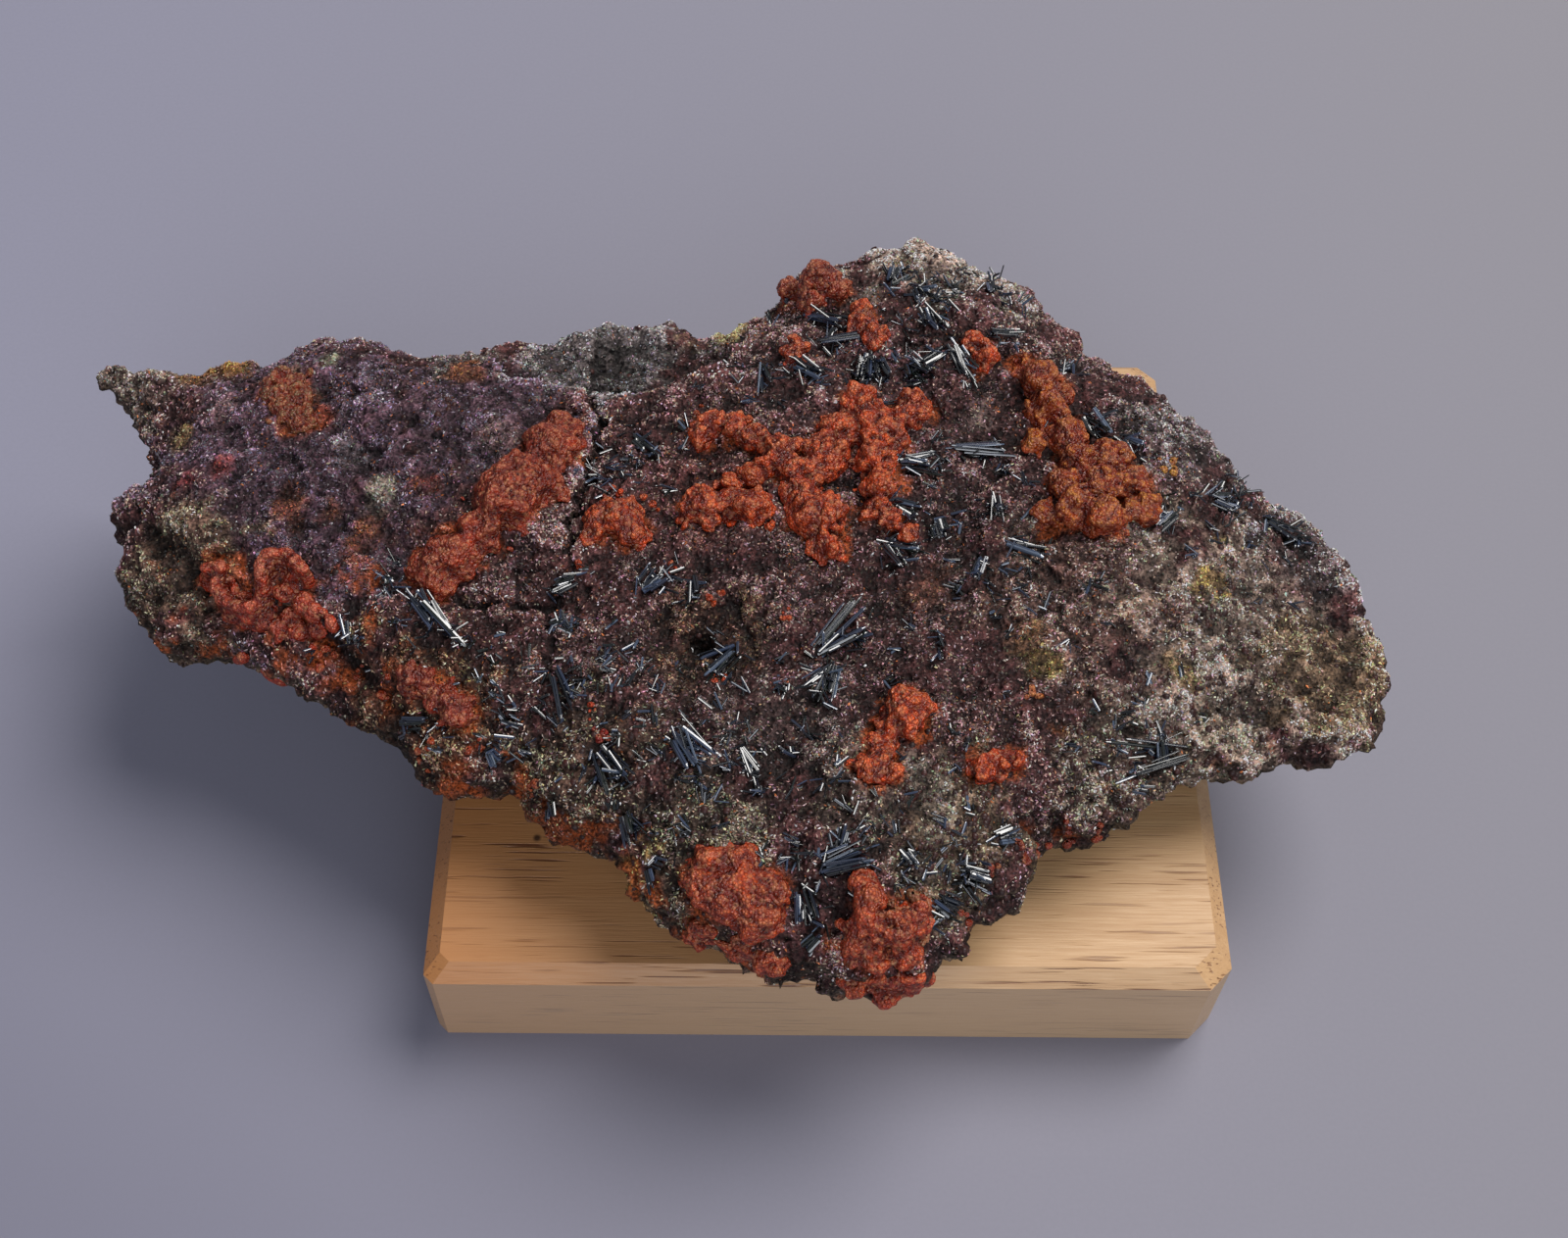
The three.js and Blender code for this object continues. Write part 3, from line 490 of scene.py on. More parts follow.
def point_normals(points, quads):
    a, b, c, d = (points[quads[:, i]] for i in range(4))
    facing = np.cross(c - a, d - b)
    total = np.zeros(points.shape)
    for axis in range(3):
        weights = np.repeat(facing[:, axis], 4)
        total[:, axis] = np.bincount(quads.ravel(), weights, len(points))
    return unit(total)


def averaged(points, quads, passes):
    """Points moved to the mean of the faces around them, a number of times."""
    hits = np.bincount(quads.ravel(), minlength=len(points))[:, None]
    for _ in range(passes):
        middle = np.repeat(points[quads].mean(axis=1), 4, axis=0)
        total = [np.bincount(quads.ravel(), middle[:, axis], len(points)) for axis in range(3)]
        points = np.stack(total, axis=1) / np.maximum(hits, 1)
    return points


def cavity(points, quads, normals, passes):
    """How far each point lies in a hollow, in units of the usual depth; negative on a bulge."""
    depth = ((averaged(points, quads, passes) - points) * normals).sum(axis=1)
    return np.clip((depth - depth.mean()) / depth.std(), -2.5, 2.5)


def make_piece(name, points, face_sets, material, tint, run=None, smooth=False):
    """A mesh object from points in millimetres and arrays of faces with 3 or 4 corners."""
    mesh = bpy.data.meshes.new(name)
    sizes = np.concatenate([np.full(len(faces), faces.shape[1]) for faces in face_sets])
    corners = np.concatenate([faces.ravel() for faces in face_sets])
    mesh.vertices.add(len(points))
    mesh.vertices.foreach_set("co", (points * MILLIMETRE).astype(np.float32).ravel())
    mesh.loops.add(len(corners))
    mesh.polygons.add(len(sizes))
    mesh.polygons.foreach_set("loop_start", np.concatenate([[0], np.cumsum(sizes)[:-1]]))
    mesh.polygons.foreach_set("vertices", corners.astype(np.int32))
    mesh.update(calc_edges=True)
    mesh.validate()
    mesh.polygons.foreach_set("use_smooth", np.full(len(mesh.polygons), smooth))
    layer = mesh.color_attributes.new("tint", "FLOAT_COLOR", "POINT")
    layer.data.foreach_set("color", np.column_stack([tint, np.ones(len(tint))]).ravel())
    if run is not None:
        layer = mesh.attributes.new("run", "FLOAT_VECTOR", "POINT")
        layer.data.foreach_set("vector", run.astype(np.float32).ravel())
    mesh.materials.append(material)
    piece = bpy.data.objects.new(name, mesh)
    bpy.context.collection.objects.link(piece)
    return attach(piece, "root")


# Node helpers
def new_material(name):
    material = bpy.data.materials.new(name)
    material.use_nodes = True
    material.node_tree.nodes.clear()
    return material


def add_node(material, kind, inputs=None, **settings):
    node = material.node_tree.nodes.new(kind)
    for key, value in settings.items():
        setattr(node, key, value)
    for key, value in (inputs or {}).items():
        if isinstance(value, bpy.types.NodeSocket):
            material.node_tree.links.new(value, node.inputs[key])
        else:
            node.inputs[key].default_value = value
    return node


def object_place(material):
    return add_node(material, "ShaderNodeTexCoord").outputs["Object"]


def stretched(material, place, scale, rotation=(0, 0, 0)):
    return add_node(
        material, "ShaderNodeMapping", {"Vector": place, "Scale": scale, "Rotation": rotation}
    ).outputs["Vector"]


def axis_of(material, vector, axis):
    return add_node(material, "ShaderNodeSeparateXYZ", {0: vector}).outputs[axis]


def noise(material, place, scale, detail=3.0, roughness=0.55):
    inputs = {"Vector": place, "Scale": scale, "Detail": detail, "Roughness": roughness}
    return add_node(material, "ShaderNodeTexNoise", inputs).outputs["Fac"]


def voronoi(material, place, scale):
    inputs = {"Vector": place, "Scale": scale, "Randomness": 1.0}
    return add_node(material, "ShaderNodeTexVoronoi", inputs, feature="F1")


def remap(material, value, low, high, to_low=0.0, to_high=1.0):
    inputs = {"Value": value, "From Min": low, "From Max": high, "To Min": to_low, "To Max": to_high}
    return add_node(material, "ShaderNodeMapRange", inputs).outputs["Result"]


def math_node(material, operation, a, b):
    return add_node(material, "ShaderNodeMath", {0: a, 1: b}, operation=operation).outputs[0]


def product(material, a, b):
    return math_node(material, "MULTIPLY", a, b)


def colour_input(value):
    return value if isinstance(value, bpy.types.NodeSocket) else (*value, 1)


def mix_colour(material, factor, a, b, kind="MIX"):
    inputs = {"Factor": factor, 6: colour_input(a), 7: colour_input(b)}
    return add_node(material, "ShaderNodeMix", inputs, data_type="RGBA", blend_type=kind).outputs[2]


def tinted(material, a, b):
    """One colour multiplied by another."""
    return mix_colour(material, 1.0, a, b, "MULTIPLY")


def finish_material(material, colour, roughness, height=None, depth=0.0, **constants):
    inputs = {"Base Color": colour, "Roughness": roughness}
    if height is not None:
        relief = {"Height": height, "Strength": 1.0, "Distance": depth}
        inputs["Normal"] = add_node(material, "ShaderNodeBump", relief).outputs["Normal"]
    shader = add_node(material, "ShaderNodeBsdfPrincipled", inputs)
    for key, value in constants.items():
        shader.inputs[key.replace("_", " ")].default_value = value
    add_node(material, "ShaderNodeOutputMaterial", {"Surface": shader.outputs["BSDF"]})
    return material


def attribute_of(material, name):
    return add_node(
        material, "ShaderNodeAttribute", attribute_name=name, attribute_type="GEOMETRY"
    )


def tint_of(material):
    return attribute_of(material, "tint").outputs["Color"]


def rock_material():
    material = new_material("matrix_rock")
    place = object_place(material)
    tint = tint_of(material)
    pits = voronoi(material, place, 1150.0).outputs["Distance"]
    fine = noise(material, place, 2600.0, 3.0, 0.7)
    patches = noise(material, place, 210.0, 3.0, 0.6)
    ridge = remap(material, pits, 0.12, 0.5)
    grain = product(material, ridge, remap(material, fine, 0.36, 0.66))
    dark = tinted(material, tint, (0.26, 0.22, 0.21))
    pale = tinted(material, tint, (2.5, 2.35, 2.3))
    colour = mix_colour(material, grain, dark, pale)
    shade = remap(material, patches, 0.35, 0.65, 0.65, 1.25)
    tone = add_node(material, "ShaderNodeCombineColor", {0: shade, 1: shade, 2: shade})
    colour = tinted(material, colour, tone.outputs[0])
    roughness = remap(material, fine, 0.3, 0.7, 0.85, 0.5)
    return finish_material(material, colour, roughness, pits, 0.0006, Specular_IOR_Level=0.2)


def grain_material():
    material = new_material("drusy_grains")
    place = object_place(material)
    fine = noise(material, place, 3000.0, 1.0)
    darker = remap(material, fine, 0.35, 0.65, 0.0, 0.35)
    colour = mix_colour(material, darker, tint_of(material), (0.03, 0.025, 0.025))
    roughness = remap(material, fine, 0.3, 0.7, 0.3, 0.6)
    return finish_material(material, colour, roughness, Specular_IOR_Level=0.3)


def crust_material():
    material = new_material("orange_crust")
    place = object_place(material)
    granules = voronoi(material, place, 2100.0)
    away = granules.outputs["Distance"]
    own = add_node(material, "ShaderNodeSeparateColor", {0: granules.outputs["Color"]}).outputs
    fine = noise(material, place, 3000.0, 3.0, 0.7)
    # Painted shade: darker red in the clefts between the granules
    cleft_shade = product(material, remap(material, away, 0.25, 0.6), 0.7)
    colour = mix_colour(material, cleft_shade, tint_of(material), (0.15, 0.012, 0.003))
    dark_granule = remap(material, own["Red"], 0.35, 0.0, 0.0, 0.6)
    colour = mix_colour(material, dark_granule, colour, (0.17, 0.016, 0.005))
    glowing = remap(material, noise(material, place, 420.0, 2.0), 0.45, 0.7)
    colour = mix_colour(material, glowing, colour, tinted(material, colour, (1.5, 1.3, 1.2)))
    pale_granule = remap(material, own["Green"], 0.7, 1.0, 0.0, 0.42)
    colour = mix_colour(material, pale_granule, colour, (0.66, 0.27, 0.12))
    height = math_node(material, "SUBTRACT", product(material, fine, 0.5), away)
    roughness = remap(material, own["Blue"], 0.0, 1.0, 0.12, 0.55)
    return finish_material(material, colour, roughness, height, 0.0004, IOR=1.5)


def crystal_material():
    material = new_material("crystal_blades")
    run = attribute_of(material, "run").outputs["Vector"]
    tint = tint_of(material)
    lines = noise(material, stretched(material, run, (9.0, 0.25, 1.0)), 1.0, 3.0, 0.6)
    darker = tinted(material, tint, (0.35, 0.36, 0.4))
    colour = mix_colour(material, remap(material, lines, 0.4, 0.65), tint, darker)
    roughness = remap(material, lines, 0.3, 0.7, 0.12, 0.3)
    return finish_material(material, colour, roughness, IOR=2.05)


# Colours of the pine, with a painted shadow on its left and painted shade on its sides
PINE = linear(199, 160, 116)
PINE_BAND = linear(188, 148, 104)
PINE_FIBRE = linear(160, 116, 76)
PINE_LEFT_SHADOW = linear(168, 104, 50)
PINE_PORE = linear(104, 58, 32)
PINE_SIDE_SHADE = linear(182, 156, 128)
PINE_KNOT = linear(48, 30, 22)
PINE_TILT = (0.0, 0.0, math.radians(-2.2))


def wood_noise(material, place, along, across, detail, roughness=0.55):
    """Noise drawn out along the wood's fibres, from its scale along and across them."""
    drawn = stretched(material, place, (along, across, across), PINE_TILT)
    return noise(material, drawn, 1.0, detail, roughness)


def wood_material():
    material = new_material("pine")
    place = object_place(material)
    bands = wood_noise(material, place, 14.0, 420.0, 4.0, 0.6)
    fibres = wood_noise(material, place, 120.0, 3600.0, 3.0, 0.6)
    pores = wood_noise(material, place, 90.0, 2500.0, 1.0, 0.4)
    clumps = wood_noise(material, place, 30.0, 120.0, 2.0)
    colour = mix_colour(material, remap(material, bands, 0.35, 0.65), PINE, PINE_BAND)
    colour = mix_colour(material, remap(material, fibres, 0.35, 0.7, 0.0, 0.35), colour, PINE_FIBRE)
    # Painted shadow of the slab, warmed by painted reflected light: darker and more orange towards the left
    shade_leftward = remap(material, axis_of(material, place, "X"), 0.02, -0.06)
    colour = mix_colour(material, product(material, shade_leftward, 0.75), colour, PINE_LEFT_SHADOW)
    dashes = remap(material, pores, 0.62, 0.71)
    dashes = product(material, dashes, remap(material, clumps, 0.4, 0.6, 0.25, 0.9))
    colour = mix_colour(material, dashes, colour, PINE_PORE)
    # Painted shade on the block's sides: a greyer colour for the bluish ambient light that falls on them
    facing = add_node(material, "ShaderNodeNewGeometry").outputs["Normal"]
    upright = remap(material, axis_of(material, facing, "Z"), 0.1, 0.4)
    side = math_node(material, "SUBTRACT", 1.0, upright)
    colour = mix_colour(material, product(material, side, 0.65), colour, PINE_SIDE_SHADE)
    knot_place = tuple(MILLIMETRE * value for value in KNOT)
    knot = add_node(
        material, "ShaderNodeVectorMath", {0: place, 1: knot_place}, operation="DISTANCE"
    ).outputs["Value"]
    colour = mix_colour(material, remap(material, knot, 0.0003, 0.0008, 0.9, 0.0), colour, PINE_KNOT)
    height = math_node(material, "SUBTRACT", fibres, product(material, dashes, 1.5))
    roughness = remap(material, fibres, 0.3, 0.7, 0.38, 0.55)
    return finish_material(material, colour, roughness, height, 0.00006)


# Colours of the floor, with painted light and shade: paler and bluer at left, darker at right and in the
# near left corner
FLOOR_LEFT = linear(137, 136, 153)
FLOOR_RIGHT = linear(129, 126, 131)
FLOOR_CORNER_SHADE = linear(104, 103, 118)
FLOOR_CLOTH = linear(116, 114, 124)


def floor_material():
    material = new_material("floor")
    place = object_place(material)
    cloth = noise(material, place, 1400.0, 1.0)
    across, deep = (axis_of(material, place, axis) for axis in "XY")
    # Painted light and shade: paler and bluer to the left, darker to the right
    rightward = remap(material, across, -0.16, 0.22)
    colour = mix_colour(material, rightward, FLOOR_LEFT, FLOOR_RIGHT)
    # Painted shade in the near left corner
    shade_leftward = remap(material, across, 0.03, -0.14)
    shade_nearward = remap(material, deep, 0.05, -0.12, 0.0, 0.75)
    colour = mix_colour(material, product(material, shade_leftward, shade_nearward), colour, FLOOR_CORNER_SHADE)
    threads = remap(material, cloth, 0.3, 0.8, 0.0, 0.12)
    colour = mix_colour(material, threads, colour, FLOOR_CLOTH)
    return finish_material(material, colour, 0.9)


# The slab's field and the heights of its upper surface
xs, ys, zs = (np.arange(low, high, SLAB_NET) for low, high in zip(SLAB_LOW, SLAB_HIGH))
volume = slab_volume(xs, ys, zs)


def crown_heights(volume):
    """Height of the slab's upper surface over each point of its lattice in plan."""
    inside = volume < 0
    top = inside.shape[2] - 1 - np.argmax(inside[:, :, ::-1], axis=2)
    top = np.minimum(top, inside.shape[2] - 2)
    rows, columns = np.indices(top.shape)
    here, over = volume[rows, columns, top], volume[rows, columns, top + 1]
    heights = zs[top] + SLAB_NET * np.clip(here / (here - over), 0, 1)
    return np.where(inside.any(axis=2), heights, RIM_HEIGHT - 4)


heights = crown_heights(volume)


def lattice_lookup(table, x, y):
    u = np.clip((np.asarray(x) - xs[0]) / SLAB_NET, 0, len(xs) - 2.001)
    v = np.clip((np.asarray(y) - ys[0]) / SLAB_NET, 0, len(ys) - 2.001)
    i, j = u.astype(int), v.astype(int)
    a, b = u - i, v - j
    near = table[i, j] * (1 - a) + table[i + 1, j] * a
    far = table[i, j + 1] * (1 - a) + table[i + 1, j + 1] * a
    return near * (1 - b) + far * b


def blurred(table, passes):
    for _ in range(passes):
        table = (np.roll(table, 1, 0) + table + np.roll(table, -1, 0)) / 3
        table = (np.roll(table, 1, 1) + table + np.roll(table, -1, 1)) / 3
    return table


slope_x, slope_y = np.gradient(blurred(heights, 4), SLAB_NET)
fine_bulge = heights - blurred(heights, 3)
broad_bulge = heights - blurred(heights, 30)


def painted_relief_shade(points):
    """Painted shade in hollows and painted light on bulges, following the relief."""
    x, y = points[:, 0], points[:, 1]
    bulge = 1.3 * lattice_lookup(fine_bulge, x, y) + 0.45 * lattice_lookup(broad_bulge, x, y)
    return np.exp(np.clip(0.65 * bulge, -0.8, 0.4))[:, None]


def ground(x, y):
    """Points on the slab's upper surface and the way it faces there."""
    place = np.stack([x, y, lattice_lookup(heights, x, y)], axis=-1)
    lean = [-lattice_lookup(slope_x, x, y), -lattice_lookup(slope_y, x, y), np.ones(np.shape(x))]
    return place, unit(np.clip(np.stack(lean, axis=-1), -STEEPEST, STEEPEST))


def crust_gap(points):
    """Distance in plan from the nearest crust lump, negative over it."""
    nearest = np.full(len(points), 99.0)
    for _, lumps in CRUSTS.values():
        for x, y, radius in lumps:
            nearest = np.minimum(nearest, away_from(x, y, points) - radius)
    curl = line_gap(CURL_RIBBON, points[:, 0], points[:, 1]) - CURL_HALF_WIDTH
    return np.minimum(nearest, curl)


def spray_gap(points):
    """Distance in plan from the nearest spray's middle."""
    nearest = np.full(len(points), 99.0)
    for x, y, heading, length, _, _ in [*SPRAYS.values(), *SMALL_SPRAYS]:
        turn = math.radians(heading)
        end = (x + length * math.cos(turn), y + length * math.sin(turn))
        nearest = np.minimum(nearest, line_gap([(x, y), end], points[:, 0], points[:, 1]))
    return nearest


# Colours of the rock by zone: centre, radius, colour between the grains, colour of the grains
ZONES = [
    ((-80, 14), 34, (68, 53, 60), (128, 112, 122)),
    ((-58, 24), 22, (66, 53, 59), (126, 112, 122)),
    ((-62, -28), 17, (62, 41, 28), (156, 132, 100)),
    ((-100, -4), 14, (74, 62, 50), (150, 138, 112)),
    ((-36, -38), 14, (54, 43, 34), (160, 148, 120)),
    ((-20, -50), 13, (56, 48, 38), (168, 158, 130)),
    ((16, -49), 13, (82, 74, 58), (168, 160, 132)),
    ((44, -34), 15, (60, 52, 43), (168, 157, 134)),
    ((62, -14), 28, (114, 106, 92), (220, 210, 188)),
    ((34, -12), 17, (76, 60, 52), (182, 156, 140)),
    ((76, -18), 13, (84, 74, 56), (176, 160, 124)),
    ((60, 24), 15, (60, 52, 50), (166, 154, 146)),
    ((76, 2), 12, (68, 61, 58), (192, 182, 172)),
    ((18, 58), 17, (124, 116, 102), (240, 230, 208)),
    ((-36, 42), 18, (72, 72, 69), (160, 156, 151)),
    ((-60, 38), 10, (66, 58, 54), (144, 134, 126)),
    ((6, 28), 15, (74, 52, 51), (188, 156, 148)),
    ((4, -44), 12, (60, 52, 45), (164, 150, 128)),
    ((-8, -34), 12, (58, 47, 44), (160, 144, 130)),
    ((-112, 34), 11, (74, 66, 58), (156, 144, 126)),
    ((-20, 6), 12, (62, 38, 35), (158, 120, 110)),
    ((-18, -19), 9, (52, 36, 28), (140, 112, 88)),
]
CENTRE_BASE = (58, 38, 36)
CENTRE_GRAIN = (170, 140, 131)
ROCK_TONE = np.array([0.75, 0.64, 0.69])
GRAIN_TONE = np.array([0.70, 0.67, 0.72])
ORANGE_DUST = (150, 72, 30)
OLIVE_ROCK = (66, 57, 46)
RUST = (150, 84, 44)
# Small spots of other colour: place, radius, colour
SPOTS = [
    ((38, 6), 3, (150, 120, 64)), ((57, -6), 4, (168, 146, 80)), ((60, 2), 2.5, (160, 150, 92)),
    ((-24, 44), 4, (170, 164, 118)), ((-84, 19), 4, (150, 84, 48)), ((66, -26), 4, (150, 128, 84)),
    ((30, -50), 3, (140, 124, 84)), ((-98, 35), 6, (160, 122, 62)), ((-103, 33), 4, (146, 108, 62)),
    ((-103, 20.5), 3.5, (170, 146, 96)), ((-86, 29), 5, (128, 104, 66)), ((-81, 20), 3, (180, 88, 46)),
    ((-82, 3), 4, (128, 78, 52)), ((-76, 2), 3, (122, 76, 50)), ((-69.5, -0.5), 4, (126, 78, 50)),
    ((-62, 7), 3, (124, 62, 42)), ((-74.5, 13), 4, (150, 144, 146)), ((-70, 5), 3.5, (158, 154, 132)),
    ((-80, 34), 3, (184, 196, 156)), ((-57.5, 30), 4, (140, 90, 60)), ((-96.5, 23), 4, (176, 146, 146)),
    ((-99, 9), 4, (136, 62, 58)), ((-94, 10), 3, (144, 68, 58)), ((57, -31), 6, (186, 178, 150)),
    ((28, -18), 4, (150, 118, 76)), ((30.5, -22), 3.5, (140, 126, 76)), ((50, -20.5), 4, (190, 170, 116)),
    ((-29, -52), 5, (164, 142, 76)), ((-49, -44), 5, (164, 118, 62)), ((15, -47), 6, (184, 178, 152)),
    ((11, -39), 5, (172, 164, 144)), ((-16.4, 47), 4, (206, 196, 132)), ((31.7, -32.3), 2.5, (196, 124, 62)),
    ((-30, 46), 5, (150, 152, 148)), ((12, 55), 4, (196, 176, 132)), ((44, -12), 5, (190, 176, 150)),
    ((24, 22), 4, (190, 172, 160)), ((14, -8), 5, (120, 84, 66)), ((-50, 16), 4, (150, 128, 124)),
]


def zone_colours(points):
    """The colour between the grains and the colour of the grains at each point."""
    base = np.tile(linear(*CENTRE_BASE), (len(points), 1))
    pale = np.tile(linear(*CENTRE_GRAIN), (len(points), 1))
    ragged = 0.4 * point_noise(points, 6) + 0.3 * point_noise(points, 2.6)
    ragged += 0.25 * point_noise(points, 1.1)
    for (x, y), radius, base_colour, pale_colour in ZONES:
        near = 1 - away_from(x, y, points) / radius
        share = smoothstep(0.05, 0.35, near + ragged)[:, None]
        base = blend(base, linear(*base_colour), share)
        pale = blend(pale, linear(*pale_colour), share)
    for (x, y), radius, colour in SPOTS:
        near = 1 - away_from(x, y, points) / radius
        share = smoothstep(0, 0.6, near + 1.5 * ragged - 0.1)[:, None] * (near > -0.5)[:, None]
        base = blend(base, 0.5 * linear(*colour), 0.6 * share)
        pale = blend(pale, linear(*colour), share)
    uneven = 0.25 * point_noise(points, 9, 0.2) + 0.35 * point_noise(points, 3.4, 0.9)
    shade = np.exp(uneven)[:, None]
    return base * shade * ROCK_TONE, pale * shade * GRAIN_TONE


def dusted(points, colours, inside):
    """Orange dust beside the crusts and along the slab's left and front edge."""
    patch = point_noise(points, 3.4, 0.3) + 0.6 * point_noise(points, 1.5, 0.6)
    beside = 1 - smoothstep(0, 3.2, crust_gap(points))
    left_edge = (1 - smoothstep(-70, -45, points[:, 0])) * (1 - smoothstep(-6, 2, points[:, 1]))
    front_edge = (1 - smoothstep(1, 7, inside)) * (1 - smoothstep(-35, -20, points[:, 1]))
    front_edge = front_edge * (0.55 + 0.45 * (1 - smoothstep(-30, -10, points[:, 0])))
    reach = np.maximum(np.maximum(0.75 * beside, 0.6 * left_edge), 0.6 * front_edge)
    share = smoothstep(0.4, 0.8, reach + 0.55 * patch - 0.2)[:, None] * 0.7
    return blend(colours, linear(*ORANGE_DUST), share)


def rough_skin(points, quads):
    """The slab's surface raised into lobes, granules and chips, but level where it is seated."""
    normals = point_normals(points, quads)
    upward = smoothstep(-0.1, 0.5, normals[:, 2])
    near_rim = 1 - smoothstep(1.5, 7, inside_outline(points[:, 0], points[:, 1]))
    lobes, _ = cell_noise(points, 2.6)
    granules, _ = cell_noise(points, 1.5, 0.4)
    chips, chip_value = cell_noise(points + 2 * point_noise(points, 9)[:, None], 7.5)
    offset = (0.5 + 1.2 * near_rim) * (0.55 - lobes)
    offset += 0.9 * (0.5 - granules)
    offset += (1 - upward) * (1.5 * (chip_value - 0.5) + 0.5 * (0.6 - chips))
    offset += 0.4 * point_noise(points, 1.3)
    seated = smoothstep(SEAT_LEVEL + 0.2, SEAT_LEVEL + 2.5, points[:, 2])
    points = points + normals * (offset * seated)[:, None]
    points[:, 2] = np.maximum(points[:, 2], SEAT_LEVEL)
    return points


def rock_colours(points, normals, tone, inside):
    """The colour between the grains, with painted shade in hollows, painted light on bulges and the olive of
    broken sides.
    """
    rock = zone_colours(points)[0] * tone
    side_share = (1 - smoothstep(-0.2, 0.45, normals[:, 2]))[:, None]
    rock = blend(rock, linear(*OLIVE_ROCK) * tone, side_share)
    # Painted shade in hollows and painted light on bulges, then the orange dust
    rock = dusted(points, rock * painted_relief_shade(points), inside)
    near_spray = (1 - smoothstep(0.5, 3.0, spray_gap(points)))[:, None]
    return rock * (0.9 - 0.35 * near_spray)


# The slab
bare_points, slab_quads = surface_net(volume, SLAB_LOW, SLAB_NET)
slab_inside = inside_outline(bare_points[:, 0], bare_points[:, 1])
slab_points = rough_skin(bare_points, slab_quads)
slab_normals = point_normals(slab_points, slab_quads)
small_hollows, large_hollows = (cavity(slab_points, slab_quads, slab_normals, n) for n in (1, 6))
# Painted shade in the slab's hollows and painted light on its bulges, as a factor on each point's colour
slab_hollow_shade = np.exp(np.clip(-(0.35 * small_hollows + 0.28 * large_hollows), -1.3, 0.8))
rock = rock_colours(slab_points, slab_normals, slab_hollow_shade[:, None], slab_inside)
slab = make_piece("matrix_slab", slab_points, [slab_quads], rock_material(), tint=rock)
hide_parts("matrix")


# Drusy grains over the slab's skin, with round pits left free between them
GRAIN_COUNT = 120000
GRAIN_LIMIT = 92000
GRAIN_SETS = 3
PIT_SPACING = 1.9
GRAIN_LENGTH = (0.18, 0.46)
GRAIN_WIDTH = (0.08, 0.18)
GRAIN_HEIGHT = (0.12, 0.34)
GRAIN_SIDES = np.array([[0, 1, 4], [1, 2, 4], [2, 3, 4], [3, 0, 4]])
GLINT = 0.9


def scatter(points, quads, count, weight):
    """Random places on a mesh of quads, with the quads they are on."""
    a, b, c, d = (points[quads[:, i]] for i in range(4))
    area = np.linalg.norm(np.cross(c - a, d - b), axis=1) * weight
    chosen = rng.choice(len(quads), count, p=area / area.sum())
    u, v = rng.random((2, count, 1))
    near = a[chosen] * (1 - u) + b[chosen] * u
    far = d[chosen] * (1 - u) + c[chosen] * u
    return near * (1 - v) + far * v, chosen


def grain_weight(middle, facing, tone):
    """How thickly grains stand on each face: on top, in patches, beside crusts and sprays."""
    patchy = point_noise(middle, 6) + 0.6 * point_noise(middle, 2.6)
    weight = smoothstep(-0.35, 0.5, facing[:, 2]) * (0.16 + smoothstep(-0.7, 0.7, patchy))
    weight = weight * smoothstep(-0.8, 0.2, crust_gap(middle))
    weight = weight * (0.3 + 0.7 * smoothstep(0.6, 2.2, spray_gap(middle)))
    # Grains also thin out where the painted shade is darker
    return weight * np.clip(painted_relief_shade(middle)[:, 0], 0.3, 1.3) * np.clip(tone, 0.3, 1.4)


def grain_shapes(places, normals):
    """Five points for each grain: a rhomb lying on the slab and a tip above it."""
    count = len(places)
    facing = unit(normals + 0.45 * rng.normal(size=places.shape))
    across = unit(np.cross(facing, rng.normal(size=places.shape)))
    along = np.cross(across, facing)
    length = rng.uniform(*GRAIN_LENGTH, (count, 1))
    width = rng.uniform(*GRAIN_WIDTH, (count, 1))
    height = rng.uniform(*GRAIN_HEIGHT, (count, 1))
    low = places - 0.06 * facing
    tip = low + height * facing + rng.uniform(-0.6, 0.6, (count, 1)) * length * along
    ends = [low - length * along, low + width * across, low + length * along, low - width * across]
    return np.stack([*ends, tip], axis=1)


def grain_colours(places, tone):
    """Each grain's colour: its zone's, with painted shade in hollows and painted light on bulges, made
    uneven, with a few rusty and a few glinting grains.
    """
    count = len(places)
    colour = dusted(places, zone_colours(places)[1], inside_outline(places[:, 0], places[:, 1]))
    colour = colour * painted_relief_shade(places) * tone[:, None]
    brightness = rng.lognormal(-0.36, 0.68, (count, 1))
    warmth = 1 + 0.15 * rng.normal(size=(count, 3))
    colour = np.clip(colour * brightness * warmth, 0, 0.8)
    rusty = rng.random(count) < 0.03 + 0.07 * (point_noise(places, 8, 0.7) > 0.3)
    colour = np.where(rusty[:, None], linear(*RUST) * brightness, colour)
    glinting = rng.random(count) < 0.002
    return np.where(glinting[:, None], GLINT, colour)


face_middle = slab_points[slab_quads].mean(axis=1)
face_normal = unit(slab_normals[slab_quads].mean(axis=1))
